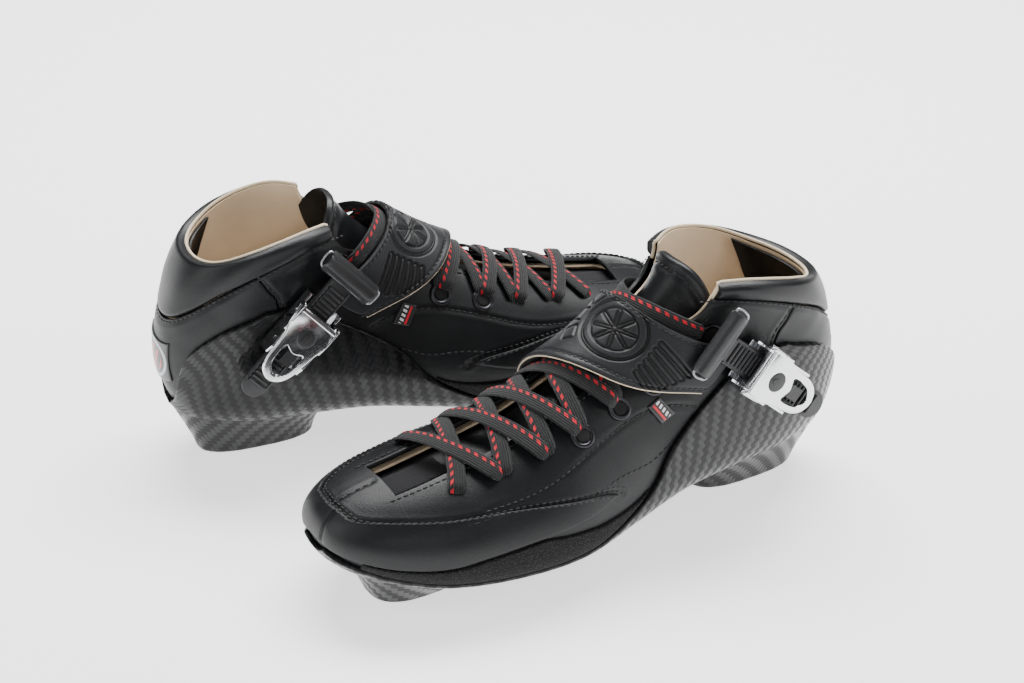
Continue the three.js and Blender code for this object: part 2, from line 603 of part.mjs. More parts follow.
function makeBuckleLever() {
  const half = FLANGE_CENTRE + WALL_THICKNESS / 2;
  const shape = new THREE.Shape();
  shape.moveTo(-2, -half);
  shape.lineTo(13, -half);
  shape.quadraticCurveTo(20, -half, LEVER_LENGTH - 8, -9.5);
  shape.quadraticCurveTo(LEVER_LENGTH, -8, LEVER_LENGTH, 0);
  shape.quadraticCurveTo(LEVER_LENGTH, 8, LEVER_LENGTH - 8, 9.5);
  shape.quadraticCurveTo(20, half, 13, half);
  shape.lineTo(-2, half);
  shape.holes.push(new THREE.Path().absellipse(23, 0, 5.6, 6, 0, 2 * Math.PI, true));
  shape.holes.push(new THREE.Path().absellipse(32.2, 0, 1.4, 3.6, 0, 2 * Math.PI, true));
  const top = plateUp(shape, LEVER_LOW, LEVER_TOP, 5);
  const flangeOutline = [[-2, LEVER_LOW + 0.5], [-3.4, PIN_HEIGHT], [-1.5, PIN_HEIGHT - 2.6], [1.5, PIN_HEIGHT - 2.6],
    [13, LEVER_LOW - 1], [13, LEVER_LOW + 0.5]];
  const flanges = bothSides((side) => plateAcross(
    flangeOutline, WALL_THICKNESS, side * FLANGE_CENTRE, [[0, PIN_HEIGHT, PIN_RADIUS + CLEARANCE]]));
  const [pinX, pinZ] = DRIVE_PIN;
  const earOutline = [[pinX - 2.6, LEVER_LOW + 0.5], [pinX - 2.4, pinZ - 1.4], [pinX, pinZ - 2.4],
    [pinX + 2.4, pinZ - 1.4], [pinX + 2.6, LEVER_LOW + 0.5]];
  const ears = bothSides((side) => plateAcross(
    earOutline, WALL_THICKNESS, side * EAR_CENTRE, [[...DRIVE_PIN, SMALL_PIN_RADIUS + CLEARANCE]]));
  return inBoot(joined(top, ...flanges, ...ears));
}

const makeLeverPin = () => inBoot(barAcross(PIN_RADIUS, 2 * (FLANGE_CENTRE + WALL_THICKNESS / 2) + 0.6, 0, PIN_HEIGHT));
const makeDrivePawlPin = () => inBoot(barAcross(SMALL_PIN_RADIUS, 2 * EAR_CENTRE + WALL_THICKNESS, ...DRIVE_PIN, 8));
const makeReleasePin = () => inBoot(barAcross(SMALL_PIN_RADIUS, BUCKLE_WIDTH - 0.4, ...RELEASE_PIN, 8));

function makeDrivePawl() {
  const [x, z] = DRIVE_PIN;
  const outline = [[x - 1.6, z + 1.6], [x - 1.8, z - 0.8], [x - 0.4, z - 1.8], [x + 3.8, TEETH_TOP + PAWL_GAP],
    [x + 4.4, TEETH_TOP + PAWL_GAP + 0.8], [x + 1.8, z + 1.2]];
  return inBoot(weld(plateAcross(outline, 8.4, 0, [[x, z, SMALL_PIN_RADIUS + CLEARANCE]])));
}

function makeReleasePawl() {
  const [x, z] = RELEASE_PIN;
  const outline = [[x - 7, TEETH_TOP + PAWL_GAP], [x - 5.8, TEETH_TOP + PAWL_GAP], [x + 1, z - 2], [x + 6.6, z + 1],
    [x + 7.4, LEVER_TOP - 0.6], [x + 0.6, LEVER_TOP - 0.6], [x - 0.6, z + 2.2], [x - 2.4, z + 1.4]];
  const body = plateAcross(outline, 7, 0, [[x, z, SMALL_PIN_RADIUS + CLEARANCE]]);
  return inBoot(weld(body));
}

// A torsion spring beside the release pawl, round its pin.
function makeReleaseSpring() {
  class Coil extends THREE.Curve {
    getPoint(t, target = new THREE.Vector3()) {
      const turn = t * 2 * Math.PI * 2.5;
      return target.set(1.95 * Math.cos(turn), 4.3 + 3.4 * t, 1.95 * Math.sin(turn));
    }
  }
  const wire = new THREE.Shape(Array.from({ length: 6 }, (_, i) => (
    new THREE.Vector2(0.36 * Math.cos(i * 60 * RAD), 0.36 * Math.sin(i * 60 * RAD)))));
  const spring = new THREE.ExtrudeGeometry(wire, { extrudePath: new Coil(), steps: 16, bevelEnabled: false });
  return inBoot(weld(spring.translate(RELEASE_PIN[0], 0, RELEASE_PIN[1])));
}

function makeBuckleScrew() {
  const head = barUp(3.4, PLATE_THICKNESS + 0.15, PLATE_THICKNESS + 1.15, SCREW_X);
  const shank = barUp(SCREW_RADIUS, NUT_LOW + 0.2, PLATE_THICKNESS + 0.6, SCREW_X);
  return inBoot(joined(head, shank));
}

function makeScrewNut() {
  const flange = barUp(4.2, NUT_LOW, NUT_LOW + 0.9, SCREW_X);
  return inBoot(cut(flange, barUp(SCREW_RADIUS + CLEARANCE, NUT_LOW - 1, NUT_LOW + 3, SCREW_X)));
}

function makeLadderStrap() {
  const top = LADDER_LOW + LADDER_THICKNESS;
  const end = LADDER_START + LADDER_LENGTH;
  const outline = [[LADDER_START, LADDER_LOW], [end - 1, LADDER_LOW], [end, LADDER_LOW + 0.8], [end, top - 0.4]];
  for (let x = end - 1; x > -14; x -= TOOTH_PITCH) {
    outline.push([x, top], [x - 0.8, top + TOOTH_HEIGHT], [x - 2.2, top + TOOTH_HEIGHT]);
  }
  outline.push([-18, top], [-20, LADDER_LOW + 1.2], [LADDER_START, LADDER_LOW + 1.2]);
  const ladder = plateAcross(outline, LADDER_WIDTH);
  const hole = barUp(PIN_RADIUS + CLEARANCE, LADDER_LOW - 1, LADDER_LOW + 3, LADDER_START + CAP_LENGTH / 2 - 1);
  return inBoot(cut(ladder, hole));
}

const CAP_LOW = LADDER_LOW + 1.5;
function makeStrapEndCap() {
  const shape = roundedRectangle(CAP_LENGTH, CAP_WIDTH, 2.5);
  const settings = { depth: 2.4, bevelEnabled: true, bevelThickness: 0.9, bevelSize: 0.9, bevelSegments: 1, curveSegments: 2 };
  const bar = new THREE.ExtrudeGeometry(shape, settings).translate(LADDER_START + CAP_LENGTH / 2 - 1, 0, CAP_LOW + 0.9);
  const hole = barUp(PIN_RADIUS + CLEARANCE, CAP_LOW - 1, CAP_LOW + 3, LADDER_START + CAP_LENGTH / 2 - 1);
  return inBoot(cut(bar, hole));
}

const makeCapRivet = () => inBoot(weld(barUp(PIN_RADIUS, LADDER_LOW + 0.2, CAP_LOW + 2.7, LADDER_START + CAP_LENGTH / 2 - 1)));

// ---- Assembly -------------------------------------------------------------------------------------

const leather = { color: 0x1b1d20, roughness: 0.42, metalness: 0 };
const rubber = { color: 0x161718, roughness: 0.9, metalness: 0 };
const carbon = { color: 0x24272a, roughness: 0.25, metalness: 0.1 };
const steel = { color: 0xc9ccd0, roughness: 0.18, metalness: 1 };
const darkSteel = { color: 0x5c5f63, roughness: 0.35, metalness: 1 };
const plastic = { color: 0x121314, roughness: 0.5, metalness: 0 };
const lining = { color: 0xd9b98f, roughness: 0.8, metalness: 0 };
const textile = { color: 0x1a1b1d, roughness: 0.95, metalness: 0 };
const badge = { color: 0xb8babd, roughness: 0.4, metalness: 0.3 };

const pieces = {
  carbon_shell: [makeCarbonShell(), carbon],
  front_mount_insert: [makeMountInsert(FRONT_MOUNT_X), darkSteel],
  heel_mount_insert: [makeMountInsert(HEEL_MOUNT_X), darkSteel],
  upper: [cut(makeUpper(), screwHole()), leather],
  heel_counter: [cut(makeHeelCounter(), screwHole()), leather],
  toe_rand: [makeToeRand(), leather],
  collar: [makeCollar(), leather],
  tongue: [makeTongue(), leather],
  outer_scuff_patch: [weld(layer(patchRegion)), rubber],
  inner_scuff_patch: [weld(layer(mirrorRegion(patchRegion))), rubber],
  lining: [makeLining(), lining],
  heel_lining: [makeHeelLining(), textile],
  footbed: [makeFootbed(), textile],
  lace: [makeLace(), textile],
  heel_badge: [makeHeelBadge(), badge],
  side_tag: [makeSideTag(), badge],
  instep_strap: [makeInstepStrap(), leather],
  strap_end_cap: [makeStrapEndCap(), plastic],
  cap_rivet: [makeCapRivet(), darkSteel],
  ladder_strap: [makeLadderStrap(), plastic],
  buckle_base: [makeBuckleBase(), steel],
  buckle_lever: [makeBuckleLever(), steel],
  lever_pin: [makeLeverPin(), steel],
  drive_pawl: [makeDrivePawl(), darkSteel],
  drive_pawl_pin: [makeDrivePawlPin(), darkSteel],
  release_pawl: [makeReleasePawl(), plastic],
  release_pawl_pin: [makeReleasePin(), darkSteel],
  release_spring: [makeReleaseSpring(), darkSteel],
  buckle_screw: [makeBuckleScrew(), darkSteel],
  screw_nut: [makeScrewNut(), darkSteel],
};

const pair = new THREE.Group();
for (const { name, mirrored, turn, x, y } of BOOTS) {
  const boot = new THREE.Group();
  boot.rotation.z = turn * RAD;
  boot.position.set(x, y, 0);
  for (const [part, [geometry, finish]] of Object.entries(pieces)) {
    const shape = geometry.clone();
    if (mirrored) {
      shape.scale(1, -1, 1);
      const corners = Array.from(shape.index.array);
      shape.setIndex(corners.map((_, i) => corners[i - (i % 3) + (2 - (i % 3))]));
    }
    const mesh = new THREE.Mesh(shape, new THREE.MeshStandardMaterial(finish));
    mesh.name = `${name}_${part}`;
    boot.add(mesh);
  }
  pair.add(boot);
}

// The pair's origin is the middle of its footprint, on the floor.
pair.updateMatrixWorld(true);
const bounds = new THREE.Box3().setFromObject(pair, true);
const middle = bounds.getCenter(new THREE.Vector3());
const group = new THREE.Group();
pair.position.set(-middle.x, -middle.y, -bounds.min.z);
group.add(pair);

export default group;
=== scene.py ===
# %% [markdown]
# # A pair of speed skating boots
# The boots stand side by side. Each has a leather upper, a glossy carbon shell under the foot, flat laces,
# an embossed strap over the instep, and a ratchet buckle that pulls the strap tight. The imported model
# gives every place and every joint; this script puts the finished surfaces around it.
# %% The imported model
import json
import math

import bpy
import bmesh
import numpy as np
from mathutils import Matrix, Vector
from mathutils.bvhtree import BVHTree
from mathutils.kdtree import KDTree


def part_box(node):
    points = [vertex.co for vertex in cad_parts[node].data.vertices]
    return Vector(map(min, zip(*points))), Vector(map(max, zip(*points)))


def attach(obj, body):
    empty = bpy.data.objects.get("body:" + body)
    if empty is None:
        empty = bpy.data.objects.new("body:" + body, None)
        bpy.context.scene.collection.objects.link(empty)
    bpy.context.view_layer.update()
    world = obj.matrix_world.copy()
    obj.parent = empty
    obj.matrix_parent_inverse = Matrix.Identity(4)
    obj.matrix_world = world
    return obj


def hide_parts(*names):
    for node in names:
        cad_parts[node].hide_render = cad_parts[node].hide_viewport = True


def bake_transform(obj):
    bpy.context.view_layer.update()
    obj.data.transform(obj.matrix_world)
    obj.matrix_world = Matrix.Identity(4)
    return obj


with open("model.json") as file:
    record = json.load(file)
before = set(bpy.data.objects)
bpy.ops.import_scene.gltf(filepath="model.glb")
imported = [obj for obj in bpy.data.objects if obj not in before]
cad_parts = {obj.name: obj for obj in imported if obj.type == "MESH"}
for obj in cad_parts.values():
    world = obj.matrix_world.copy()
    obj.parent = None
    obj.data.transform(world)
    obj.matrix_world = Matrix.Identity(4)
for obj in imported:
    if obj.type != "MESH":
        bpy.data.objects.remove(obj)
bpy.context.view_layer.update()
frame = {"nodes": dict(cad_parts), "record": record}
MM = 0.001
record_joints = {joint["name"]: joint for joint in frame["record"]["behaviour"]["joints"]}

# %% [markdown]
# ## Camera
# A long lens from nearly thirty degrees above keeps both boots in view with little distortion.
# %% Camera
TARGET = Vector((0.0107, -0.0147, 0.0779))
ELEVATION = math.radians(29.16)
DISTANCE = 1.052

camera_data = bpy.data.cameras.new("camera")
camera_data.lens = 75
camera_data.sensor_width = 36
camera = bpy.data.objects.new("camera", camera_data)
camera.location = TARGET + Vector((0, -math.cos(ELEVATION), math.sin(ELEVATION))) * DISTANCE
camera.rotation_euler = (math.pi / 2 - ELEVATION, 0, 0)
bpy.context.scene.collection.objects.link(camera)
bpy.context.scene.camera = camera

# %% [markdown]
# ## The shape of the foot
# Every soft piece of a boot is a sheet pulled over the same wooden last. One smooth surface could be
# sculpted by hand, but a rule is better here, because each layer can then stand off it by its own
# thickness. The rule is a row of rounded sections from the toe to the collar. A place on it is u, 0 at
# the toe and 1 at the collar, and an angle: 0 on top, 90 on the outer side, 180 under the sole.
# %% Smooth curves
def smooth_curve(points):
    """A smooth function through (x, y) points, level beyond both ends."""
    xs, ys = np.array(points, float).T
    places = np.arange(len(xs))
    before, after = np.maximum(places - 1, 0), np.minimum(places + 1, len(xs) - 1)
    slopes = (ys[after] - ys[before]) / (xs[after] - xs[before])

    def curve(x):
        x = np.clip(x, xs[0], xs[-1])
        i = np.clip(np.searchsorted(xs, x, side="right") - 1, 0, len(xs) - 2)
        span, rise = xs[i + 1] - xs[i], ys[i + 1] - ys[i]
        t = (x - xs[i]) / span
        a, b = slopes[i] * span - rise, rise - slopes[i + 1] * span
        return ys[i] + rise * t + t * (1 - t) * (a * (1 - t) + b * t)

    return curve


def value(rule, x):
    return rule(x) if callable(rule) else np.full(np.shape(x), float(rule))


# %% The last
# top x and z, bottom x and z, outer and inner width, height of the widest line, roundness above and below it
SECTIONS = np.array([
    (286, 42, 286, 42, -8, 8, 0.5, 2, 2), (283, 53, 284, 33, 8, 22, 0.5, 2, 2),
    (273, 60, 276, 25, 21, 32, 0.5, 2, 2.1), (258, 65, 262, 18, 32, 40, 0.46, 2.1, 2.3),
    (238, 70, 238, 12, 42, 45, 0.42, 2.1, 2.6), (212, 77, 206, 9, 48, 47, 0.38, 2.1, 2.8),
    (187, 87, 172, 10, 51, 44, 0.36, 2, 2.8), (166, 98, 138, 15, 46, 38, 0.36, 2, 2.6),
    (149, 108, 103, 20, 40, 34, 0.37, 2, 2.5), (136, 117, 68, 21, 37, 33, 0.4, 2, 2.5),
    (126, 125, 36, 21, 35, 33, 0.43, 2.1, 2.4), (118, 132, 13, 29, 34, 33, 0.46, 2.2, 2.3),
    (112, 139, 3, 52, 34, 33, 0.48, 2.2, 2.2), (107, 146, 3, 80, 35, 35, 0.48, 2.2, 2.2),
    (104, 153, 11, 106, 36, 36, 0.5, 2.2, 2.2), (103, 161, 20, 130, 37, 37, 0.5, 2.2, 2.2),
])
SCALE = np.array([1, 97 / 95, 127 / 144])
_toe = SECTIONS[1]
BEYOND_TOE = np.r_[_toe[2], _toe[3], _toe[0], _toe[1], -_toe[5], -_toe[4], _toe[6:]]
CONTROL = np.vstack([BEYOND_TOE, SECTIONS, 2 * SECTIONS[-1] - SECTIONS[-2]])


def through(a, b, c, d, t):
    """The smooth line from b to c that would also pass a and d."""
    return 0.5 * (2 * b + (c - a) * t + (2 * a - 5 * b + 4 * c - d) * t**2 + (3 * b - 3 * c + d - a) * t**3)


def section(u):
    place = np.clip(u, 0, 1) * (len(SECTIONS) - 1)
    k = np.minimum(place.astype(int), len(SECTIONS) - 2)
    f = (place - k)[..., None]
    a, b, c, d = (CONTROL[k + i] for i in range(4))
    return through(a, b, c, d, f)


def surface(u, angle):
    """The point of the skin at u and angle, and the middle of its section."""
    u, angle = np.broadcast_arrays(np.asarray(u, float), np.asarray(angle, float))
    tx, tz, bx, bz, outer, inner, middle, upper, lower = np.moveaxis(section(u), -1, 0)
    cx, cy, cz = bx + (tx - bx) * middle, (outer - inner) / 2, bz + (tz - bz) * middle
    cosine, sine = np.cos(np.radians(angle)), np.sin(np.radians(angle))
    power = 2 / np.where(cosine >= 0, upper, lower)
    along = np.abs(cosine) ** power
    across = np.sign(sine) * np.abs(sine) ** power
    x = cx + (np.where(cosine >= 0, tx, bx) - cx) * along
    z = cz + (np.where(cosine >= 0, tz, bz) - cz) * along
    point = np.stack([x, cy + across * (outer + inner) / 2, z], -1) * SCALE
    return point, np.stack([cx, cy, cz], -1) * SCALE


def skin(u, angle, lift=0.0):
    """A point that stands off the skin by lift, inside the boot where lift is negative."""
    u, angle = np.broadcast_arrays(np.asarray(u, float), np.asarray(angle, float))
    point, centre = surface(u, angle)
    step = 0.002
    along = surface(np.minimum(u + step, 1), angle)[0] - surface(np.maximum(u - step, 0), angle)[0]
    around = surface(u, angle + 0.5)[0] - surface(u, angle - 0.5)[0]
    normal = np.cross(along, around)
    normal /= np.maximum(np.linalg.norm(normal, axis=-1, keepdims=True), 1e-9)
    normal *= np.where(((point - centre) * normal).sum(-1, keepdims=True) < 0, -1, 1)
    normal = np.where((u < 1e-6)[..., None], np.array([1.0, 0, 0]), normal)
    return point + normal * np.broadcast_to(np.asarray(lift, float), u.shape)[..., None]


def angle_at_width(u, distance):
    values = section(np.asarray(u, float))
    half = (values[..., 4] + values[..., 5]) / 2
    share = np.clip(distance / SCALE[1] / half, 0, 0.96)
    return np.degrees(np.arcsin(share ** (values[..., 7] / 2)))


def crossing(line, angle):
    """The u at which a line drawn on the boot's side, z = line(x), crosses the skin."""
    low, high = np.full(np.shape(angle), 0.6), np.full(np.shape(angle), 1.0)
    for _ in range(24):
        u = (low + high) / 2
        point = surface(u, angle)[0]
        below = point[..., 2] / SCALE[2] < line(point[..., 0] / SCALE[0])
        low, high = np.where(below, u, low), np.where(below, high, u)
    return low


print("length of the last", round(float(surface(0, 0)[0][0]), 1), "mm")

# %% The lines that part the pieces
RIM_LINE = smooth_curve([
    (2, 126), (12, 128), (26, 131), (46, 138), (72, 144), (90, 143.5), (104, 139), (120, 132)])
SEAM_LINE = smooth_curve([
    (2, 88), (8, 94), (16, 102), (30, 114), (50, 125), (72, 133), (90, 135.5), (106, 133), (120, 129)])
THROAT_START = 0.216
throat_gap = smooth_curve([(0.2, 14), (0.5, 15), (0.66, 18), (0.78, 24), (0.9, 28)])
lower_edge = smooth_curve([
    (0.05, 178), (0.14, 150), (0.5, 138), (0.62, 112), (0.72, 94), (0.81, 87), (0.86, 88), (0.93, 100),
    (0.98, 122)])
rand_top = smooth_curve([
    (0, 0.105), (25, 0.115), (42, 0.14), (52, 0.24), (58, 0.33), (72, 0.42), (84, 0.455), (180, 0.46)])
rand_bottom = smooth_curve([(0, 112), (0.1, 108), (0.22, 97), (0.33, 84), (0.45, 82)])
sole_edge = smooth_curve([
    (0.03, 128), (0.12, 124), (0.3, 118), (0.42, 112), (0.501, 92), (0.549, 80), (0.621, 73), (0.709, 72.5),
    (0.788, 79), (0.835, 92)])
heel_edge = smooth_curve([(92, 0.835), (113, 0.852), (130, 0.848), (142, 0.832), (158, 0.78), (180, 0.757)])


def rim_at(angle):
    return crossing(RIM_LINE, angle)


def seam_at(angle):
    return crossing(SEAM_LINE, angle)


def throat_edge(u):
    return angle_at_width(u, throat_gap(u))


def fold(angle):
    """An angle on either side of the boot as an angle from 0 to 180."""
    angle = np.abs(np.asarray(angle, float)) % 360
    return np.where(angle > 180, 360 - angle, angle)


BACK = np.array([180.0])
print("collar rim at the back", rim_at(BACK).round(3), "and the seam", seam_at(BACK).round(3))

# %% [markdown]
# ## From a boot to the floor
# The pieces are drawn once, as a left boot in millimetres. The left and right boots stand where their
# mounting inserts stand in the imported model, and the right one is the mirror image. The buckle has a
# frame of its own: its x runs down the toothed strap and its z points away from the boot, which is what
# the directions of its two joints give.
# %% Where the boots stand
HEEL_INSERT_X = 48


class Boot:
    def __init__(self, name, mirrored):
        boxes = (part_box(f"{name}_{end}_mount_insert") for end in ("heel", "front"))
        heel, front = (np.mean([low, high], axis=0) for low, high in boxes)
        self.name, self.mirrored = name, mirrored
        self.along = (front - heel) / np.linalg.norm(front - heel)
        self.side = np.cross([0, 0, 1], self.along) * (-1 if mirrored else 1)
        self.origin = (heel - self.along * HEEL_INSERT_X * MM) * [1, 1, 0]
        lever, ladder = record_joints[f"{name}_lever_hinge"], record_joints[f"{name}_ladder_slide"]
        self.strap_way = np.array(ladder["axis"])
        self.out = np.cross(lever["axis"], self.strap_way)
        self.across = np.cross(self.out, self.strap_way) * (-1 if mirrored else 1)
        self.pin = np.array(lever["pos_m"])

    def place(self, points):
        x, y, z = np.asarray(points, float).reshape(-1, 3).T[..., None] * MM
        return self.origin + x * self.along + y * self.side + z * np.array([0, 0, 1])

    def place_on_buckle(self, points):
        x, y, z = np.asarray(points, float).reshape(-1, 3).T[..., None] * MM
        return self.pin + x * self.strap_way + y * self.across + (z - PIN_HEIGHT * MM) * self.out


PIN_HEIGHT = 7.0
BOOTS = [Boot("left", False), Boot("right", True)]
for boot in BOOTS:
    print(boot.name, "stands at", (boot.origin / MM).round(1), "heading", boot.along.round(3))

# %% [markdown]
# ## Shader maths
# A finish is a small graph of shader nodes. Wrapping a socket in a class lets the graph be written as
# ordinary sums, and one method makes every other node, with its settings first and its sockets after.
# %% Shader maths
class Field:
    """A socket that can be used in sums."""

    def __init__(self, finish, socket):
        self.finish, self.socket = finish, socket

    def math(self, operation, *values):
        return self.finish.node("ShaderNodeMath", {"operation": operation}, dict(enumerate(values)))

    def __add__(self, other):
        return self.math("ADD", self, other)

    def __sub__(self, other):
        return self.math("SUBTRACT", self, other)

    def __rsub__(self, other):
        return self.math("SUBTRACT", other, self)

    def __mul__(self, other):
        return self.math("MULTIPLY", self, other)

    def __truediv__(self, other):
        return self.math("DIVIDE", self, other)

    def __mod__(self, other):
        return self.math("FLOORED_MODULO", self, other)

    def __lt__(self, other):
        return self.math("LESS_THAN", self, other)

    def __gt__(self, other):
        return self.math("GREATER_THAN", self, other)

    def __abs__(self):
        return self.math("ABSOLUTE", self)

    def wave(self):
        return self.math("SINE", self)

    def floor(self):
        return self.math("FLOOR", self)

    def soft(self, low, high):
        """0 below low, 1 above high, smooth between."""
        settings = {"interpolation_type": "SMOOTHSTEP"}
        return self.finish.node("ShaderNodeMapRange", settings, {0: self, 1: low, 2: high})

    __radd__, __rmul__ = __add__, __mul__


class Finish:
    """A material with one Principled shader."""

    def __init__(self, name, **settings):
        self.material = bpy.data.materials.new(name)
        self.material.use_nodes = True
        self.tree = self.material.node_tree
        self.shader = self.tree.nodes["Principled BSDF"]
        for socket, number in settings.items():
            self.shader.inputs[socket.replace("_", " ")].default_value = number

    def node(self, kind, settings=None, inputs=None, output=0):
        node = self.tree.nodes.new(kind)
        for key, setting in (settings or {}).items():
            setattr(node, key, setting)
        for key, item in (inputs or {}).items():
            if isinstance(item, Field):
                self.tree.links.new(item.socket, node.inputs[key])
            else:
                node.inputs[key].default_value = item
        return Field(self, node.outputs[output])

    def feed(self, socket, field):
        self.tree.links.new(field.socket, self.shader.inputs[socket])

    def place(self):
        return self.node("ShaderNodeTexCoord", output="Object")

    def cloth(self):
        """The piece's own map, in millimetres along and across it."""
        return self.split(self.node("ShaderNodeUVMap", {"uv_map": "cloth"}))

    def split(self, field):
        node = self.tree.nodes.new("ShaderNodeSeparateXYZ")
        self.tree.links.new(field.socket, node.inputs[0])
        return [Field(self, output) for output in node.outputs]

    def noise(self, scale, detail=3.0):
        inputs = {"Vector": self.place(), "Scale": scale, "Detail": detail}
        return self.node("ShaderNodeTexNoise", {}, inputs)

    def cells(self, scale):
        return self.node("ShaderNodeTexVoronoi", {}, {"Vector": self.place(), "Scale": scale})

    def mix(self, mask, low, high):
        """Between two colours, by the mask."""
        node = self.tree.nodes.new("ShaderNodeMix")
        node.data_type = "RGBA"
        self.tree.links.new(mask.socket, node.inputs[0])
        for socket, item in ((node.inputs[6], low), (node.inputs[7], high)):
            if isinstance(item, Field):
                self.tree.links.new(item.socket, socket)
            else:
                socket.default_value = (*item, 1)
        return Field(self, node.outputs[2])

    def bump(self, height, distance, strength=1.0):
        inputs = {"Height": height, "Distance": distance, "Strength": strength}
        self.feed("Normal", self.node("ShaderNodeBump", {}, inputs))

    def attribute(self, name):
        return self.node("ShaderNodeAttribute", {"attribute_name": name}, output="Fac")


# %% [markdown]
# ## Leather
# Polished black leather has a fine pebble grain, broad soft dents from the last, and a gloss that
# changes a little over the hide. Where the last sets a seam or an embossed line the hide is pressed in,
# and in the embossed lines of the strap its colour is darker, as painted shade in the grooves. Three
# scales of noise and a groove shade attribute on the mesh give that.
# %% Leather finishes
def shaded(colour, share):
    return tuple(channel * share for channel in colour)


def leather(name, colour, roughness, grain=1.0, press=False):
    finish = Finish(name, Specular_IOR_Level=0.3)
    hide = finish.noise(38, 4)
    pores = finish.cells(1500)
    fine = finish.noise(2600, 2)
    shade = finish.mix(hide, shaded(colour, 0.8), shaded(colour, 1.2))
    height = pores * 0.5 + fine * 0.5
    if press:
        # painted shade: the embossed grooves get a near-black colour on top of their real dip
        groove_shade_mask = finish.attribute("press")
        shade = finish.mix(groove_shade_mask, shade, (0.0012, 0.0012, 0.0014))
    finish.feed("Base Color", shade)
    finish.feed("Roughness", hide * 0.16 + fine * 0.08 + (roughness - 0.12))
    finish.bump(height, 0.00022 * grain, 0.55)
    return finish.material


hide_black = leather("black_leather", (0.0062, 0.0068, 0.0078), 0.4)
hide_strap = leather("embossed_leather", (0.0135, 0.0145, 0.0165), 0.46, press=True)
hide_padded = leather("padded_leather", (0.0056, 0.0062, 0.0072), 0.38)
hide_beige = leather("lining_leather", (0.8, 0.63, 0.44), 0.72, 0.7)
print("leathers", [m.name for m in (hide_black, hide_strap, hide_padded, hide_beige)])

# %% [markdown]
# ## Carbon
# The shell is woven carbon under clear lacquer. In a two by two twill each flat tow passes over two and
# under two, one step further along in every row, so the tows on top make diagonal bands. The weave is
# worked out from the piece's own map: which tow is on top, and how round it is across its width. The
# colour holds a painted sheen on the tows on top and painted shade towards the edges of each tow.
# %% Carbon twill
TOW = 2.7


def twill():
    finish = Finish("carbon_twill", Specular_IOR_Level=0.26, Coat_Weight=0.2, Coat_Roughness=0.1)
    along, around, _ = finish.cloth()
    column, row = (along / TOW).floor(), (around / TOW).floor()
    warp = ((column + row) % 4) < 1.5
    across_warp = abs((along / TOW) % 1 - 0.5)
    across_weft = abs((around / TOW) % 1 - 0.5)
    across = warp * across_warp + (1 - warp) * across_weft
    dome = 1 - across * across * 3.4
    threads = ((warp * around + (1 - warp) * along) * 9).wave() * 0.06
    waver = finish.noise(55, 3)
    # painted sheen and shade: tows on top lighter, each tow darker towards its edges, varied by noise
    painted_sheen_and_shade = (warp * 0.85 + 0.06) * dome * (waver * 2.4 - 0.55)
    finish.feed("Base Color", finish.mix(painted_sheen_and_shade, (0.0008, 0.0009, 0.001), (0.017, 0.018, 0.0195)))
    finish.feed("Roughness", 0.62 - warp * 0.34)
    finish.bump(dome + threads + warp * 0.5, 0.0002, 0.4)
    return finish.material


carbon_twill = twill()
print("tow width", TOW, "mm")


# %% [markdown]
# ## Rubbed patches, metal, nylon and cloth
# The scuff patches are a gritty film, so their specks stand up; some of them are glossier and painted
# lighter, a painted glint. The buckle is polished steel with faint rubbing marks. The nylon is moulded,
# with a slight orange peel.
# %% Grit, metal and nylon
def grit():
    finish = Finish("scuff_grit", Specular_IOR_Level=0.35)
    specks = finish.cells(1100)
    crumbs = finish.noise(1500, 3)
    # the glossy specks are also painted lighter in colour, a painted glint
    gloss_and_painted_glint = (crumbs * 1.4 - specks * 0.9).soft(0.3, 0.9)
    finish.feed("Base Color", finish.mix(gloss_and_painted_glint, (0.003, 0.0033, 0.003), (0.022, 0.024, 0.021)))
    finish.feed("Roughness", 0.9 - gloss_and_painted_glint * 0.35)
    finish.bump(1 - specks + crumbs, 0.0006, 0.9)
    return finish.material


def metal(name, colour, roughness, marks=0.5):
    finish = Finish(name, Metallic=1.0)
    rub = finish.noise(90, 4)
    lines = finish.noise(900, 2)
    finish.feed("Base Color", finish.mix(rub, shaded(colour, 0.86), colour))
    finish.feed("Roughness", rub * 0.1 + lines * 0.06 * marks + (roughness - 0.07))
    finish.bump(lines, 0.00003, 0.25 * marks)
    return finish.material


def moulded(name, colour, roughness):
    finish = Finish(name, Specular_IOR_Level=0.5)
    peel = finish.noise(700, 3)
    cloud = finish.noise(60, 3)
    finish.feed("Base Color", finish.mix(cloud, shaded(colour, 0.8), shaded(colour, 1.2)))
    finish.feed("Roughness", peel * 0.12 + (roughness - 0.06))
    finish.bump(peel, 0.00012, 0.5)
    return finish.material


scuff_grit = grit()
polished_steel = metal("polished_steel", (0.78, 0.79, 0.81), 0.15)
dull_steel = metal("dull_steel", (0.34, 0.35, 0.37), 0.34, 1.0)
black_nylon = moulded("black_nylon", (0.014, 0.0145, 0.016), 0.42)
black_thread = moulded("black_thread", (0.011, 0.011, 0.013), 0.55)
raw_edge = moulded("raw_leather_edge", (0.7, 0.58, 0.42), 0.8)
eyelet_metal = metal("eyelet_metal", (0.05, 0.05, 0.055), 0.3)
# painted shade for the holes inside the eyelet rings
painted_hole_shade = moulded("painted_hole_shade", (0.003, 0.003, 0.003), 0.9)
print("metal, nylon and grit ready")

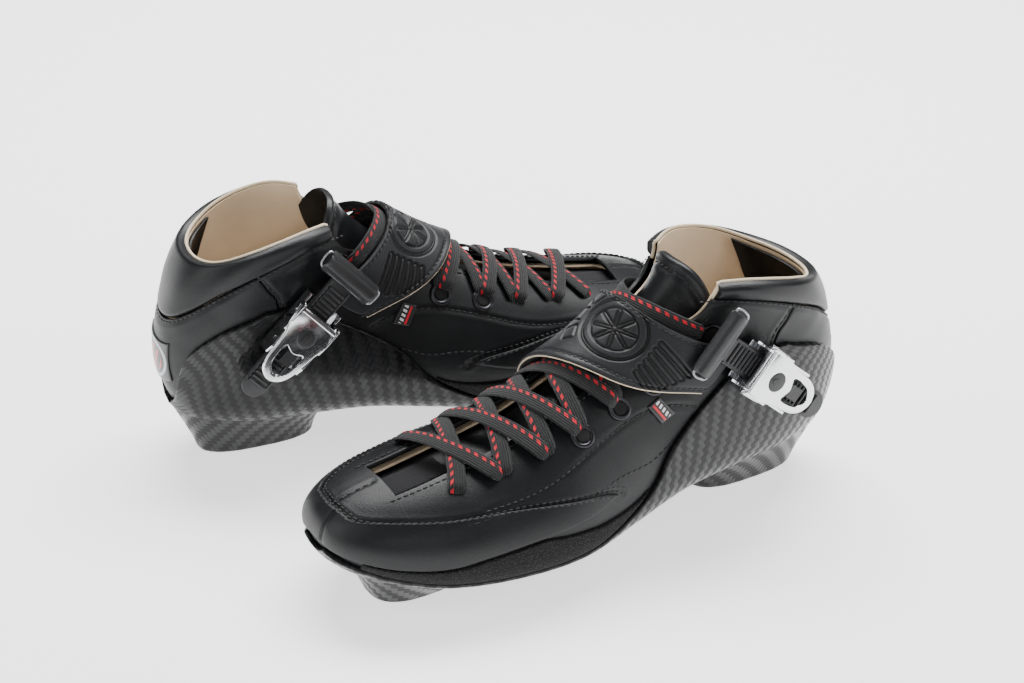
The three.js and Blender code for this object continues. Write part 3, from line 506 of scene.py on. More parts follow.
# %% [markdown]
# ## Lace and lining cloth
# A flat lace is braided: its yarns run in small slanting stitches in ribs along its length. Red yarn
# shows as dashes near one edge. The same map, in millimetres, gives both. On the lace and on the lining
# cloth the raised yarns are painted lighter and the gaps between them darker, as painted highlight and shade.
# %% Woven finishes
def braid():
    finish = Finish("lace_braid", Specular_IOR_Level=0.3, Sheen_Weight=0.15)
    along, across, _ = finish.cloth()
    rib = (across * (2 * math.pi / 1.15)).wave()
    slant = ((along + abs((across / 1.15) % 1 - 0.5) * 1.6) * (2 * math.pi / 0.85)).wave()
    yarn = rib * 0.5 + slant * 0.45
    near_edge = abs(across - 2.1) < 0.75
    dash = ((along + across * 0.9) % 4.6) < 2.3
    red = near_edge * dash
    # painted highlight and shade: the black yarn is lighter where it is raised and darker between ribs
    black = finish.mix(yarn.soft(-0.6, 0.9), (0.0025, 0.0025, 0.003), (0.022, 0.023, 0.025))
    finish.feed("Base Color", finish.mix(red, black, (0.62, 0.008, 0.022)))
    finish.feed("Roughness", 0.85 - yarn * 0.05)
    finish.bump(yarn, 0.00028, 0.9)
    return finish.material


def plain_weave():
    finish = Finish("woven_lining", Specular_IOR_Level=0.3)
    along, across, _ = finish.cloth()
    weave = (along * (2 * math.pi / 0.9)).wave() * (across * (2 * math.pi / 0.9)).wave()
    # painted highlight and shade: the weave is lighter where the yarns are raised and darker between them
    finish.feed("Base Color", finish.mix(weave.soft(-1, 1), (0.008, 0.008, 0.009), (0.03, 0.03, 0.033)))
    finish.feed("Roughness", 0.9 - weave * 0.05)
    finish.bump(weave, 0.0002, 0.7)
    return finish.material


lace_braid = braid()
woven_lining = plain_weave()
print("lace and lining cloth ready")


# %% [markdown]
# ## Making a piece
# A cut piece of hide is a grid between four lines on the last. Its cut edges are rounded, and it dips
# where a row of stitches pulls it down. Each piece is made once and set down on both boots.
# %% Pieces on a body
def lay_down(boot, name, points, faces, material, body, cloth=None, marks=None, on_buckle=False):
    """A mesh of points in the boot's own millimetres, on a body if one is named, with cloth as its map."""
    put = boot.place_on_buckle if on_buckle else boot.place
    mesh = bpy.data.meshes.new(f"{boot.name}_{name}_skin")
    turned = [tuple(reversed(face)) for face in faces] if boot.mirrored else faces
    mesh.from_pydata([tuple(p) for p in put(points)], [], turned)
    if cloth is not None:
        layer = mesh.uv_layers.new(name="cloth")
        corners = np.zeros(len(mesh.loops), int)
        mesh.loops.foreach_get("vertex_index", corners)
        layer.data.foreach_set("uv", np.asarray(cloth, np.float32)[corners].ravel())
    for key, values in (marks or {}).items():
        attribute = mesh.attributes.new(key, "FLOAT", "POINT")
        attribute.data.foreach_set("value", np.asarray(values, np.float32))
    mesh.validate()
    mesh.shade_smooth()
    if on_buckle:
        mesh.set_sharp_from_angle(angle=math.radians(28))
    mesh.materials.append(material)
    piece = bpy.data.objects.new(f"{boot.name}_{name}_skin", mesh)
    bpy.context.scene.collection.objects.link(piece)
    if body:
        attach(piece, body)
    return piece


def near(points, lines, reach):
    """The distance in millimetres from each point to the nearest of the lines' points, up to reach."""
    crowd = np.vstack([np.asarray(line).reshape(-1, 3) for line in lines])
    tree = KDTree(len(crowd))
    for i, point in enumerate(crowd):
        tree.insert(point, i)
    tree.balance()
    gaps = np.array([tree.find(point)[2] for point in points.reshape(-1, 3)])
    return np.minimum(gaps, reach).reshape(points.shape[:-1])


def travelled(line, axis=0):
    """How far along a line, or along each line of a grid, every point is."""
    steps = np.cumsum(np.linalg.norm(np.diff(line, axis=axis), axis=-1), axis)
    return np.concatenate([np.zeros_like(np.take(steps, [0], axis)), steps], axis)


def at_lengths(line, length, places):
    """The points of a line that lie at these lengths along it."""
    return np.stack([np.interp(places, length, line[:, k]) for k in range(3)], -1)


def densify(line, step=0.4):
    """More points along a line, step millimetres apart."""
    line = np.asarray(line, float).reshape(-1, 3)
    length = travelled(line)
    return at_lengths(line, length, np.linspace(0, length[-1], max(int(length[-1] / step), 2)))


def on_last(pairs, lift=0.0, step=0.4):
    """A line on the last through (u, angle) pairs."""
    us, angles = np.array(pairs, float).T
    t = np.linspace(0, len(us) - 1, 40 * len(us))
    u, angle = (smooth_curve(list(enumerate(v)))(t) for v in (us, angles))
    return densify(skin(u, angle, lift), step)


# %% A cut piece of hide
EDGE_STEPS = np.array([0, 0.12, 0.35, 0.65])


def ticks(count, length, radius):
    """Shares from 0 to 1, closer together within radius of both ends."""
    near_end = EDGE_STEPS * radius / length
    inside = np.linspace(radius / length, 1 - radius / length, count)
    return np.concatenate([near_end, inside, 1 - near_end[::-1]])


def locate(region, s, t):
    start, end, first, last = (region[key] for key in ("start", "end", "from", "to"))
    s, t = np.broadcast_arrays(s, t)
    middle = np.full(s.shape, 90.0)
    u = value(start, middle) + (value(end, middle) - value(start, middle)) * s
    for _ in range(8):
        angle = value(first, u) + (value(last, u) - value(first, u)) * t
        u = value(start, angle) + (value(end, angle) - value(start, angle)) * s
    return u, angle


def cut_piece(region, inner, outer, step=2.0, radius=0.9, relief=None, sides="start end from to", press=None):
    """Points, faces, map and marks of a hide between two lifts. The relief adds to the outer one."""
    rough = skin(*locate(region, np.linspace(0, 1, 24)[:, None], np.linspace(0, 1, 24)[None, :]))
    length = np.linalg.norm(np.diff(rough, axis=0), axis=-1).sum(0).max()
    width = np.linalg.norm(np.diff(rough, axis=1), axis=-1).sum(1).max()
    s, t = ticks(int(length / step) + 2, length, radius), ticks(int(width / step) + 2, width, radius)
    u, angle = locate(region, s[:, None], t[None, :])
    base = skin(u, angle)
    along, around = travelled(base, 0), travelled(base, 1)
    gaps = {"start": along, "end": along[-1] - along, "from": around, "to": around[:, -1:] - around}
    gap = np.min([gaps[side] for side in sides.split()], axis=0) if sides else np.full(u.shape, 99.0)
    inner, outer = (lift(u, angle) if callable(lift) else np.full(u.shape, float(lift))
                    for lift in (inner, outer))
    rise = np.sqrt(np.clip(1 - (1 - np.clip(gap / radius, 0, 1)) ** 2, 0, 1))
    lift = inner + (outer - inner) * (0.12 + 0.88 * rise)
    if relief is not None:
        lift = lift + relief(base, u, angle) * rise
    top, low = skin(u, angle, lift), skin(u, angle, inner)
    rows, columns = u.shape
    index = np.arange(rows * columns).reshape(rows, columns)
    quads = np.stack([index[:-1, :-1], index[1:, :-1], index[1:, 1:], index[:-1, 1:]], -1).reshape(-1, 4)
    count = rows * columns
    faces = [tuple(q) for q in quads] + [tuple(q[::-1] + count) for q in quads]
    border = np.concatenate([index[0, :-1], index[:-1, -1], index[-1, :0:-1], index[:0:-1, 0]])
    faces += [(a, b, b + count, a + count) for a, b in zip(border, np.roll(border, -1))]
    points = np.vstack([top.reshape(-1, 3), low.reshape(-1, 3)])
    if signed_volume(points, faces) < 0:
        faces = [tuple(reversed(face)) for face in faces]
    cloth = np.tile(np.stack([along, around], -1).reshape(-1, 2), (2, 1))
    marks = {"press": np.tile(press(base, u, angle).ravel(), 2)} if press else {}
    return points, faces, cloth, marks


def signed_volume(points, faces):
    total = 0.0
    for face in faces:
        a = points[face[0]]
        for i in range(1, len(face) - 1):
            total += np.dot(a, np.cross(points[face[i]], points[face[i + 1]]))
    return total


def flip(region):
    """The same piece on the other side of the boot."""
    return {
        **region,
        "from": lambda u: -value(region["to"], u),
        "to": lambda u: -value(region["from"], u),
        "start": lambda angle: value(region["start"], -angle),
        "end": lambda angle: value(region["end"], -angle),
    }


print("a cut edge has", len(EDGE_STEPS), "steps")


# %% [markdown]
# ## Seams
# The rows of stitches are set first, because the hide dips under them. A line on the last is enough for
# each; the same line later carries the stitches themselves.
# %% Where the seams run
def both(pairs):
    return [pairs, [(u, -angle) for u, angle in pairs]]


def along_angle(rule, low, high, offset=0.0, count=40):
    """(u, angle) pairs along a line u = rule(angle)."""
    angles = np.linspace(low, high, count)
    return list(zip(np.asarray(rule(fold(angles))) + offset, angles))


def along_u(rule, low, high, offset=0.0, count=30):
    us = np.linspace(low, high, count)
    return list(zip(us, np.asarray(rule(us)) + offset))


SEAMS = {
    "rand_upper": [along_angle(rand_top, -84, 84, 0.012)],
    "rand_lower": [along_angle(rand_top, -84, 84, 0.004)],
    "quarter": both([
        (0.31, 53), (0.36, 53.5), (0.42, 51.5), (0.48, 52), (0.54, 56), (0.585, 63), (0.612, 71)]),
    "vamp_back": both([(0.43, 73), (0.47, 75.5), (0.51, 80.5), (0.545, 79.5)]),
    "throat": both(along_u(throat_edge, THROAT_START - 0.008, 0.8, 4.5)),
    "toe": [[(0.112, 0), (0.15, 0), (THROAT_START - 0.012, 0)]],
    "collar": [along_angle(seam_at, 42, 318, -0.006, 90)],
    "counter": both(along_u(lower_edge, 0.79, 0.945, -1.2)),
}
FOLDS = ["quarter", "collar", "counter", "toe", "rand_lower"]
seam_lines = {name: [on_last(pairs) for pairs in runs] for name, runs in SEAMS.items()}
print("seam length in mm", {k: round(sum(len(x) for x in v) * 0.4) for k, v in seam_lines.items()})


def dip(names, depth=0.5, width=1.0):
    """A hide's relief: pulled down at its seams, slightly full beside them, with soft dents all over."""
    lines = [line for name in names for line in seam_lines[name]]

    def relief(points, u, angle):
        gap = near(points, lines, 6.0)
        seam = -depth * np.exp(-((gap / width) ** 2)) + 0.22 * np.exp(-(((gap - 2.6) / 1.3) ** 2))
        x, y, z = np.moveaxis(points, -1, 0)
        bend = np.sin(z * 0.11 + y * 0.07) * 2.1
        dents = np.sin(x * 0.13 + bend) * np.sin(z * 0.19 + x * 0.05 + y * 0.12)
        return seam + 0.16 * dents

    return relief


# %% [markdown]
# ## Upper, counter and collar
# The upper is a vamp over the toes and two quarters that meet it at the throat. Behind them the heel
# counter and the padded collar close the boot. Each is cut, laid on the last and stitched, so each is a
# cut piece of its own that stops at its seam.
# %% Upper
SEAM_GAP = 0.0008


def lay_on_both(name, parts, material, replaces, body="boots"):
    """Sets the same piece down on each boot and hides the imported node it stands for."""
    points, faces, cloth, marks = parts
    made = []
    for boot in BOOTS:
        home = f"{boot.name}_{body}" if body and body != "boots" else body
        piece = lay_down(boot, name, points, faces, material, home, cloth, marks)
        if replaces:
            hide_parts(f"{boot.name}_{replaces}")
        made.append(piece)
    print(name, "has", len(faces), "faces")
    return made


def joined(*pieces):
    """Several pieces' points, faces, maps and marks as one."""
    points, faces, cloth, marks, start = [], [], [], [], 0
    for p, f, c, m in pieces:
        points.append(p)
        faces += [tuple(np.array(face) + start) for face in f]
        cloth.append(c)
        marks.append(m.get("press", np.zeros(len(p))))
        start += len(p)
    return np.vstack(points), faces, np.vstack(cloth), {"press": np.concatenate(marks)}


HIDE_STEP = 1.15
vamp = {"from": lambda u: -lower_edge(u), "to": lower_edge, "start": 0.0, "end": THROAT_START}
quarter = {"from": throat_edge, "to": lower_edge, "start": THROAT_START,
           "end": lambda angle: seam_at(np.abs(angle)) - SEAM_GAP}
hide_relief = dip(FOLDS)
upper_parts = joined(
    cut_piece(vamp, -2, 0, HIDE_STEP, relief=hide_relief, sides="from to"),
    cut_piece(quarter, -2, 0, HIDE_STEP, relief=hide_relief, sides="end from to"),
    cut_piece(flip(quarter), -2, 0, HIDE_STEP, relief=hide_relief, sides="end from to"),
)
lay_on_both("upper", upper_parts, hide_black, "upper")

# %% Counter and rand
counter = {"from": lambda u: lower_edge(u) + 0.15, "to": lambda u: 359.85 - lower_edge(u), "start": 0.7,
           "end": lambda angle: seam_at(angle) - SEAM_GAP}
counter_parts = cut_piece(counter, -2, -0.15, 1.8, relief=dip(["collar", "counter"]))
lay_on_both("heel_counter", counter_parts, hide_black, "heel_counter")
rand = {"from": lambda u: -rand_bottom(u), "to": rand_bottom, "start": 0.0,
        "end": lambda angle: rand_top(np.abs(angle))}


def rand_relief(points, u, angle):
    """The rand is drawn in at its centre seam, on the tip of the toe."""
    gap = np.abs(points[..., 1])
    front = np.clip((points[..., 0] - 262) / 8, 0, 1)
    return -0.8 * np.exp(-((gap / 0.8) ** 2)) * front


rand_parts = cut_piece(rand, 0.05, 1.7, 1.6, 1.1, rand_relief, sides="end from to")
lay_on_both("toe_rand", rand_parts, hide_black, "toe_rand")

# %% Scuff patches
taper = smooth_curve([(0.36, 0), (0.43, 0.35), (0.49, 0.93)])


def patch_top(u):
    """The upper edge, which runs down to the lower one at the back."""
    low, high = rand_bottom(u) + 1.5, sole_edge(u) - 1.5
    return low + (high - low) * taper(u)


patch = {"from": patch_top, "to": lambda u: sole_edge(u) - 1.5, "start": 0.13, "end": 0.49}
for name, region in (("outer_scuff_patch", patch), ("inner_scuff_patch", flip(patch))):
    lay_on_both(name, cut_piece(region, 0.05, 1.6, 2.0), scuff_grit, name)

# %% Collar
collar = {"from": lambda u: throat_edge(u) + 1, "to": lambda u: 359 - throat_edge(u),
          "start": lambda angle: seam_at(angle) + SEAM_GAP, "end": rim_at}


def collar_fill(points, u, angle):
    """Foam under the hide: full between the seam and the rim, with soft creases where it bends."""
    low, high = seam_at(angle), rim_at(angle)
    share = np.clip((u - low) / np.maximum(high - low, 1e-4), 0, 1)
    creases = 0.14 * np.sin(np.radians(angle) * 9 + share * 3) * np.sin(share * math.pi)
    return 1.5 * np.sin(share * math.pi) ** 0.8 + creases


collar_parts = cut_piece(collar, -3.4, 0.6, 1.8, 2.0, collar_fill)
lay_on_both("collar", collar_parts, hide_padded, "collar")


# %% [markdown]
# ## Inside the boot
# A beige lining shows above the foot, with a pale bound edge along the rim. A black patch grips the
# heel, and the padded tongue lies under the laces with a stitched band near its rounded top.
# %% Tubes along a line
def tube(line, radius, sides=8):
    """Points, faces, map and marks of a round bar along a line, closed at both ends."""
    line = np.asarray(line, float)
    ways = np.gradient(line, axis=0)
    ways /= np.linalg.norm(ways, axis=1, keepdims=True)
    side = np.cross(ways[0], [0, 0, 1.0] if abs(ways[0][2]) < 0.9 else [0, 1.0, 0])
    rings = []
    turn = np.linspace(0, 2 * math.pi, sides, endpoint=False)
    for point, way in zip(line, ways):
        side = side - way * np.dot(side, way)
        side /= np.linalg.norm(side)
        up = np.cross(way, side)
        rings.append(point + radius * (np.cos(turn)[:, None] * side + np.sin(turn)[:, None] * up))
    return loft(rings)


def loft(rings):
    """Closed rings of points joined one to the next, with flat ends."""
    rings = np.asarray(rings)
    rows, count = rings.shape[:2]
    index = np.arange(rows * count).reshape(rows, count)
    nxt = np.roll(index, -1, axis=1)
    faces = [tuple(q) for q in np.stack([index[:-1], nxt[:-1], nxt[1:], index[1:]], -1).reshape(-1, 4)]
    faces += [tuple(index[0][::-1]), tuple(index[-1])]
    points = rings.reshape(-1, 3)
    if signed_volume(points, faces) < 0:
        faces = [tuple(reversed(face)) for face in faces]
    along, around = travelled(rings.mean(1)), travelled(rings[0])
    cloth = np.stack([np.repeat(along, count), np.tile(around, rows)], -1)
    return points, faces, cloth, {}


# %% Lining and bound edge
opening = smooth_curve([(0.18, 0), (0.214, 1)])
lining = {"from": lambda u: np.maximum(0.8, throat_edge(u) * opening(u)),
          "to": lambda u: 360 - np.maximum(0.8, throat_edge(u) * opening(u)),
          "start": 0.05, "end": lambda angle: rim_at(angle) - 0.004}
lay_on_both("lining", cut_piece(lining, -5.4, -4.4, 2.6, 0.5), hide_beige, "lining")

rim_end = float(throat_edge(np.array([0.9]))[0]) + 1.5
rim_angles = np.linspace(rim_end, 360 - rim_end, 160)
rim_top = skin(rim_at(rim_angles), rim_angles, -3.9)
front_us = np.linspace(0.86, float(rim_at(rim_angles[:1])[0]), 12)[:-1]
front_edge = skin(front_us, throat_edge(front_us) + 0.8, -2.6)
far_edge = skin(front_us[::-1], 359.2 - throat_edge(front_us[::-1]), -2.6)
bound_edge = densify(np.vstack([front_edge, rim_top, far_edge]), 1.5)
lay_on_both("bound_edge", tube(bound_edge, 0.85), raw_edge, None)

# %% Heel lining and footbed
heel_lining = {"from": 122, "to": 238, "start": 0.86, "end": lambda angle: rim_at(angle) - 0.007}
heel_lining_parts = cut_piece(heel_lining, -7.4, -5.9, 2.0, 0.7)
lay_on_both("heel_lining", heel_lining_parts, hide_padded, "heel_lining")
footbed = {"from": 132, "to": 228, "start": 0.1, "end": 0.715}
lay_on_both("footbed", cut_piece(footbed, -10.2, -7.2, 3.0, 1.2), woven_lining, "footbed")

# %% Tongue
tongue_half = smooth_curve([(0.15, 17), (0.4, 24), (0.7, 27), (0.9, 27)])


def tongue_top(angle):
    return 0.93 - 0.1 * (np.abs(angle) / 55) ** 2.4


def centred(half, start, end):
    """A region that is the same width to both sides of the top line."""
    def side(u):
        return angle_at_width(u, value(half, u))

    return {"from": lambda u: -side(u), "to": side, "start": start, "end": end}


tongue = centred(tongue_half, 0.17, tongue_top)
TONGUE_BAND = along_angle(tongue_top, -46, 46, -0.042)


def tongue_fill(points, u, angle):
    gap = near(points, [on_last(TONGUE_BAND)], 6.0)
    return -0.7 * np.exp(-((gap / 1.1) ** 2)) + 0.35 * np.exp(-(((gap - 3) / 1.6) ** 2))


tongue_patch = centred(8.5, 0.19, 0.3)
lay_on_both("tongue_patch", cut_piece(tongue_patch, -7.4, -6.3, 1.5, 0.5), woven_lining, None)
tongue_parts = cut_piece(tongue, -10.2, -7.3, 2.0, 1.4, tongue_fill)
lay_on_both("tongue", tongue_parts, hide_padded, "tongue")

# %% [markdown]
# ## Carbon shell
# The shell cups the heel, rises in a wing on each side of the arch and runs forward under the sole. Two
# blocks carry the skate's frame. Real ones are laid up in one mould, so each block here flows into the
# shell: every line up its side starts upright at the floor and ends lying along the shell.
# %% Shell
shell = {"from": sole_edge, "to": lambda u: 360 - sole_edge(u), "start": 0.05,
         "end": lambda angle: heel_edge(fold(angle))}


def wing_swell(points, u, angle):
    """The wings stand out in a rounded pocket beside the ankle."""
    side = fold(angle)
    pocket = np.exp(-(((side - 104) / 15) ** 2)) * np.exp(-(((u - 0.76) / 0.085) ** 4))
    return 0.35 * pocket


shell_parts = cut_piece(shell, 0.25, 2.5, 2.2, 0.9, wing_swell, sides="end from to")
shell_points, shell_faces = shell_parts[:2]
top_count = len(shell_points) // 2
lay_on_both("carbon_shell", shell_parts, carbon_twill, "carbon_shell")


# %% Mounting blocks
def under_shell():
    tops = [face for face in shell_faces if max(face) < top_count]
    corners = [tuple(point) for point in shell_points]
    return BVHTree.FromPolygons(corners, [tuple(map(int, face)) for face in tops])


def block(x, floor, merge, rise=14):
    """A block from its floor up to the shell, each given as an offset, a half length and a half width."""
    shell_tree = under_shell()
    sides, steps = 96, 16
    columns = []
    for turn in np.linspace(0, 2 * math.pi, sides, endpoint=False):
        c, s = (math.copysign(abs(v) ** 0.75, v) for v in (math.cos(turn), math.sin(turn)))
        start = np.array([x + floor[0] + floor[1] * c, floor[2] * s, 0.0])
        end = np.array([x + merge[0] + merge[1] * c, merge[2] * s, -5.0])
        hit, normal, *_ = shell_tree.ray_cast(Vector(end), Vector((0, 0, 1)))
        if hit is None:
            hit, normal, *_ = shell_tree.find_nearest(Vector((end[0], end[1], 30.0)))
        hit, normal = np.array(hit), np.array(normal)
        outward = np.array([floor[1] * c, floor[2] * s, 0.0])
        outward /= np.linalg.norm(outward)
        lie = outward - normal * np.dot(outward, normal)
        lie /= np.linalg.norm(lie)
        hit = hit + lie * 1.5 + np.array([0, 0, 0.5])
        up = np.array([0, 0, 1.0]) * rise + outward * 1.5
        column = [start - outward * 1.2, start - outward * 0.35 + [0, 0, 0.25]]
        for t in np.linspace(0.06, 1, steps):
            h = (2 * t**3 - 3 * t**2 + 1, t**3 - 2 * t**2 + t, -2 * t**3 + 3 * t**2, t**3 - t**2)
            column.append(h[0] * start + h[1] * up + h[2] * hit + h[3] * lie * rise * 0.9)
        inset = start - outward * 3.0
        columns.append([inset + [0, 0, 1.4], inset] + column + [hit + [0, 0, 1.2] - lie * 3])
    rings = np.array(columns).transpose(1, 0, 2)
    points, faces, _, _ = loft(rings)
    rows, count = rings.shape[:2]
    up_way, around = travelled(rings), travelled(rings[rows // 2])
    cloth = np.stack([np.broadcast_to(around, (rows, count)).ravel(), up_way.ravel()], -1)
    return points, faces, cloth, {}


FRONT_INSERT_X = HEEL_INSERT_X + 195
heel_block = block(HEEL_INSERT_X, (2, 31, 15), (-2, 42, 26))
front_block = block(FRONT_INSERT_X, (-3, 24, 17), (-4, 32, 27), 7)
lay_on_both("mounting_blocks", joined(heel_block, front_block), carbon_twill, None)

# %% [markdown]
# ## Instep strap
# A stiff leather strap crosses the instep. Its top is embossed: a spoked wheel in the middle, a fan of
# bars towards the buckle and small panels on the inner side. The pattern is drawn as distances on the
# flattened strap; the hide is pressed in wherever a line runs, and painted darker there as painted shade
# in the groove. The strap bends between the boot and the toothed strap, because that end is pulled by
# the buckle.
# %% Strap shape
STRAP_START, STRAP_END = -69, 66
STRAP_THICKNESS = 2.3
strap_front = smooth_curve([(-78, 0.455), (-30, 0.475), (25, 0.524), (45, 0.56), (66, 0.635)])
strap_back = smooth_curve([(-78, 0.62), (-30, 0.69), (0, 0.7), (25, 0.708), (45, 0.73), (66, 0.77)])
strap_lift = smooth_curve([(STRAP_START, 1), (-62, 2), (-52, 5.4), (46, 5.4), (STRAP_END, 3.4)])
strap_angles = np.linspace(STRAP_START, STRAP_END, 60)
EMBLEM = (0.617, 12.0)
INSTEP_RADIUS = 40.0
emblem_middle = skin(*EMBLEM, 5.4)
emblem_out = skin(*EMBLEM, 6.4) - emblem_middle
emblem_back = skin(EMBLEM[0] + 0.01, EMBLEM[1], 5.4) - emblem_middle
emblem_back /= np.linalg.norm(emblem_back)
emblem_side = np.cross(emblem_out, emblem_back)
emblem_side *= np.sign(emblem_side[1])


def flattened(points):
    """Millimetres from the emblem's middle, towards the outer side and towards the collar."""
    away = points - emblem_middle
    turn = np.arctan2(away @ emblem_side, INSTEP_RADIUS + away @ emblem_out)
    return INSTEP_RADIUS * turn, away @ emblem_back


def bar_gap(a, b, first, last, half):
    """The distance to the outline of a round-ended bar."""
    first, last = np.array(first, float), np.array(last, float)
    way = last - first
    t = np.clip(((a - first[0]) * way[0] + (b - first[1]) * way[1]) / way.dot(way), 0, 1)
    return np.abs(np.hypot(a - first[0] - t * way[0], b - first[1] - t * way[1]) - half)


def panel_gap(a, b, middle, size, turn):
    """The distance to the outline of a small panel with rounded corners."""
    c, s = math.cos(turn), math.sin(turn)
    x = np.abs((a - middle[0]) * c + (b - middle[1]) * s) - size[0] / 2 + 1
    y = np.abs((b - middle[1]) * c - (a - middle[0]) * s) - size[1] / 2 + 1
    inside = np.minimum(np.maximum(x, y), 0)
    return np.abs(np.hypot(np.maximum(x, 0), np.maximum(y, 0)) + inside - 1)


def emboss_gap(points):
    a, b = flattened(points)
    reach = np.hypot(a, b)
    gaps = [np.abs(reach - 15.8), np.abs(reach - 14.6) * 1.6, np.abs(reach - 10.8)]
    for k in range(8):
        turn = math.radians(22.5 + 45 * k)
        tip = (9.4 * math.cos(turn), 9.4 * math.sin(turn))
        gaps.append(bar_gap(a, b, (0.22 * tip[0], 0.22 * tip[1]), tip, 0.75))
    for k in range(6):
        b0 = 10.5 - 4.2 * k
        gaps.append(bar_gap(a, b, (19.5 + 0.2 * k, b0 * 0.92), (42 - 2.1 * k, b0 * 1.02 - 2.0), 1.25))
    for turn, distance in ((122, 22), (152, 22.5), (184, 22.5), (218, 22.5), (168, 33), (196, 33.5)):
        way = math.radians(turn)
        middle = (distance * math.cos(way), distance * math.sin(way))
        gaps.append(panel_gap(a, b, middle, (7.5, 8.5), way))
    return np.min(gaps, axis=0)


def strap_emboss(points, u, angle):
    hems = near(points, strap_seams_flat, 6.0)
    return -0.95 * np.exp(-((emboss_gap(points) / 0.55) ** 2)) - 0.4 * np.exp(-((hems / 0.9) ** 2))


# painted shade: 1 in the embossed grooves, where the strap's colour is darkened
def strap_groove_shade(points, u, angle):
    return np.clip(1.3 * np.exp(-((emboss_gap(points) / 0.6) ** 2)), 0, 1)


HEM = 0.0125
strap_hems = [list(zip(rule(strap_angles) + offset, strap_angles))
              for rule, offset in ((strap_front, HEM), (strap_back, -HEM))]
strap_seams_flat = [on_last(pairs) for pairs in strap_hems]
strap = {"from": STRAP_START, "to": STRAP_END, "start": strap_front, "end": strap_back}
STRAP_STEP = 0.55
strap_under, strap_over = (lambda u, angle, add=add: strap_lift(angle) + add for add in (0, STRAP_THICKNESS))
strap_parts = cut_piece(strap, strap_under, strap_over, STRAP_STEP, 0.7, strap_emboss, press=strap_groove_shade)
strap_pieces = lay_on_both("instep_strap", strap_parts, hide_strap, "instep_strap", body=None)

# %% Strap edges
pale_edge = skin(strap_front(strap_angles) + 0.0012, strap_angles, strap_lift(strap_angles) + 0.7)
edge_parts = tube(densify(pale_edge, 1.2), 0.55)
strap_edges = lay_on_both("strap_edge", edge_parts, raw_edge, None, body=None)
PULL_START, PULL_END = (0.6, 25.0), (0.71, 62.0)


def bend_with_ladder(boot, piece):
    """Bakes the placement of a strap piece into its mesh. The spots at the middle of the strap and at its end
    are worked out but not used.
    """
    start, end = (tuple(boot.place(skin(*spot, 6.0))[0]) for spot in (PULL_START, PULL_END))
    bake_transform(piece)


for boot, *pieces in zip(BOOTS, strap_pieces, strap_edges):
    for piece in pieces:
        bend_with_ladder(boot, piece)
print("emblem middle", emblem_middle.round(1))


# %% [markdown]
# ## Laces
# One flat lace crosses the throat from hole to hole. Each crossing is a soft lens-shaped band that comes
# up out of a hole, lies on the leather, and passes over or under the one it meets. Small differences in
# how far each bows and drifts keep the row from looking stamped.
# %% Lace bands
LACE_HOLES = [
    (0.285, 37), (0.342, 38), (0.398, 40), (0.45, 41.5), (0.518, 45), (0.59, 48), (0.66, 51), (0.765, 55)]
LACE_HALF = 4.2
LACE_LIFTS = {1: 1.9, -1: 2.9}
LACE_LEAN = np.array([0.3, 1.0, 0])
lens_turn = np.linspace(0, 2 * math.pi, 16, endpoint=False)
LENS = np.stack([np.sign(np.cos(lens_turn)) * np.abs(np.cos(lens_turn)) ** 0.7,
                 np.sign(np.sin(lens_turn)) * np.abs(np.sin(lens_turn)) ** 0.8], -1)


def ribbon(middle, out, half, thick):
    """A flat band along middle, with out as its upper side. Its map is millimetres along and across."""
    ways = np.gradient(middle, axis=0)
    ways /= np.linalg.norm(ways, axis=1, keepdims=True)
    side = np.cross(out, ways)
    side /= np.linalg.norm(side, axis=1, keepdims=True)
    up = np.cross(ways, side)
    across = LENS[:, 0][None, :] * half[:, None]
    above = (LENS[:, 1] * thick)[None, :, None] * up[:, None]
    points, faces, _, _ = loft(middle[:, None] + across[..., None] * side[:, None] + above)
    cloth = np.stack([np.repeat(travelled(middle), len(LENS)), across.ravel()], -1)
    return points, faces, cloth, {}


def lace_bands(seed=4):
    rng = np.random.default_rng(seed)
    bands = []
    for i in range(len(LACE_HOLES) - 1):
        (u0, a0), (u1, a1) = LACE_HOLES[i:i + 2]
        for side in (1, -1):
            t = np.linspace(0, 1, 46)
            drift = rng.uniform(-0.006, 0.006) * np.sin(t * math.pi)
            u = u0 + (u1 - u0) * t + drift
            angle = side * (a0 - (a1 + a0) * t)
            rise = np.clip(np.minimum(t, 1 - t) / 0.085, 0, 1)
            rise = rise * rise * (3 - 2 * rise)
            lift = -2.2 + (LACE_LIFTS[side] + 2.2) * rise + rng.uniform(0.1, 0.8) * np.sin(t * math.pi)
            middle = skin(u, angle, lift)
            lean = rng.uniform(-0.12, 0.12) * np.sin(t * math.pi * 2)
            out = skin(u, angle, 1) - skin(u, angle, 0)
            out = out + lean[:, None] * LACE_LEAN
            bands.append(ribbon(middle, out, LACE_HALF * (0.2 + 0.8 * rise**0.8), 0.72))
    return bands


lay_on_both("lace", joined(*lace_bands()), lace_braid, "lace")

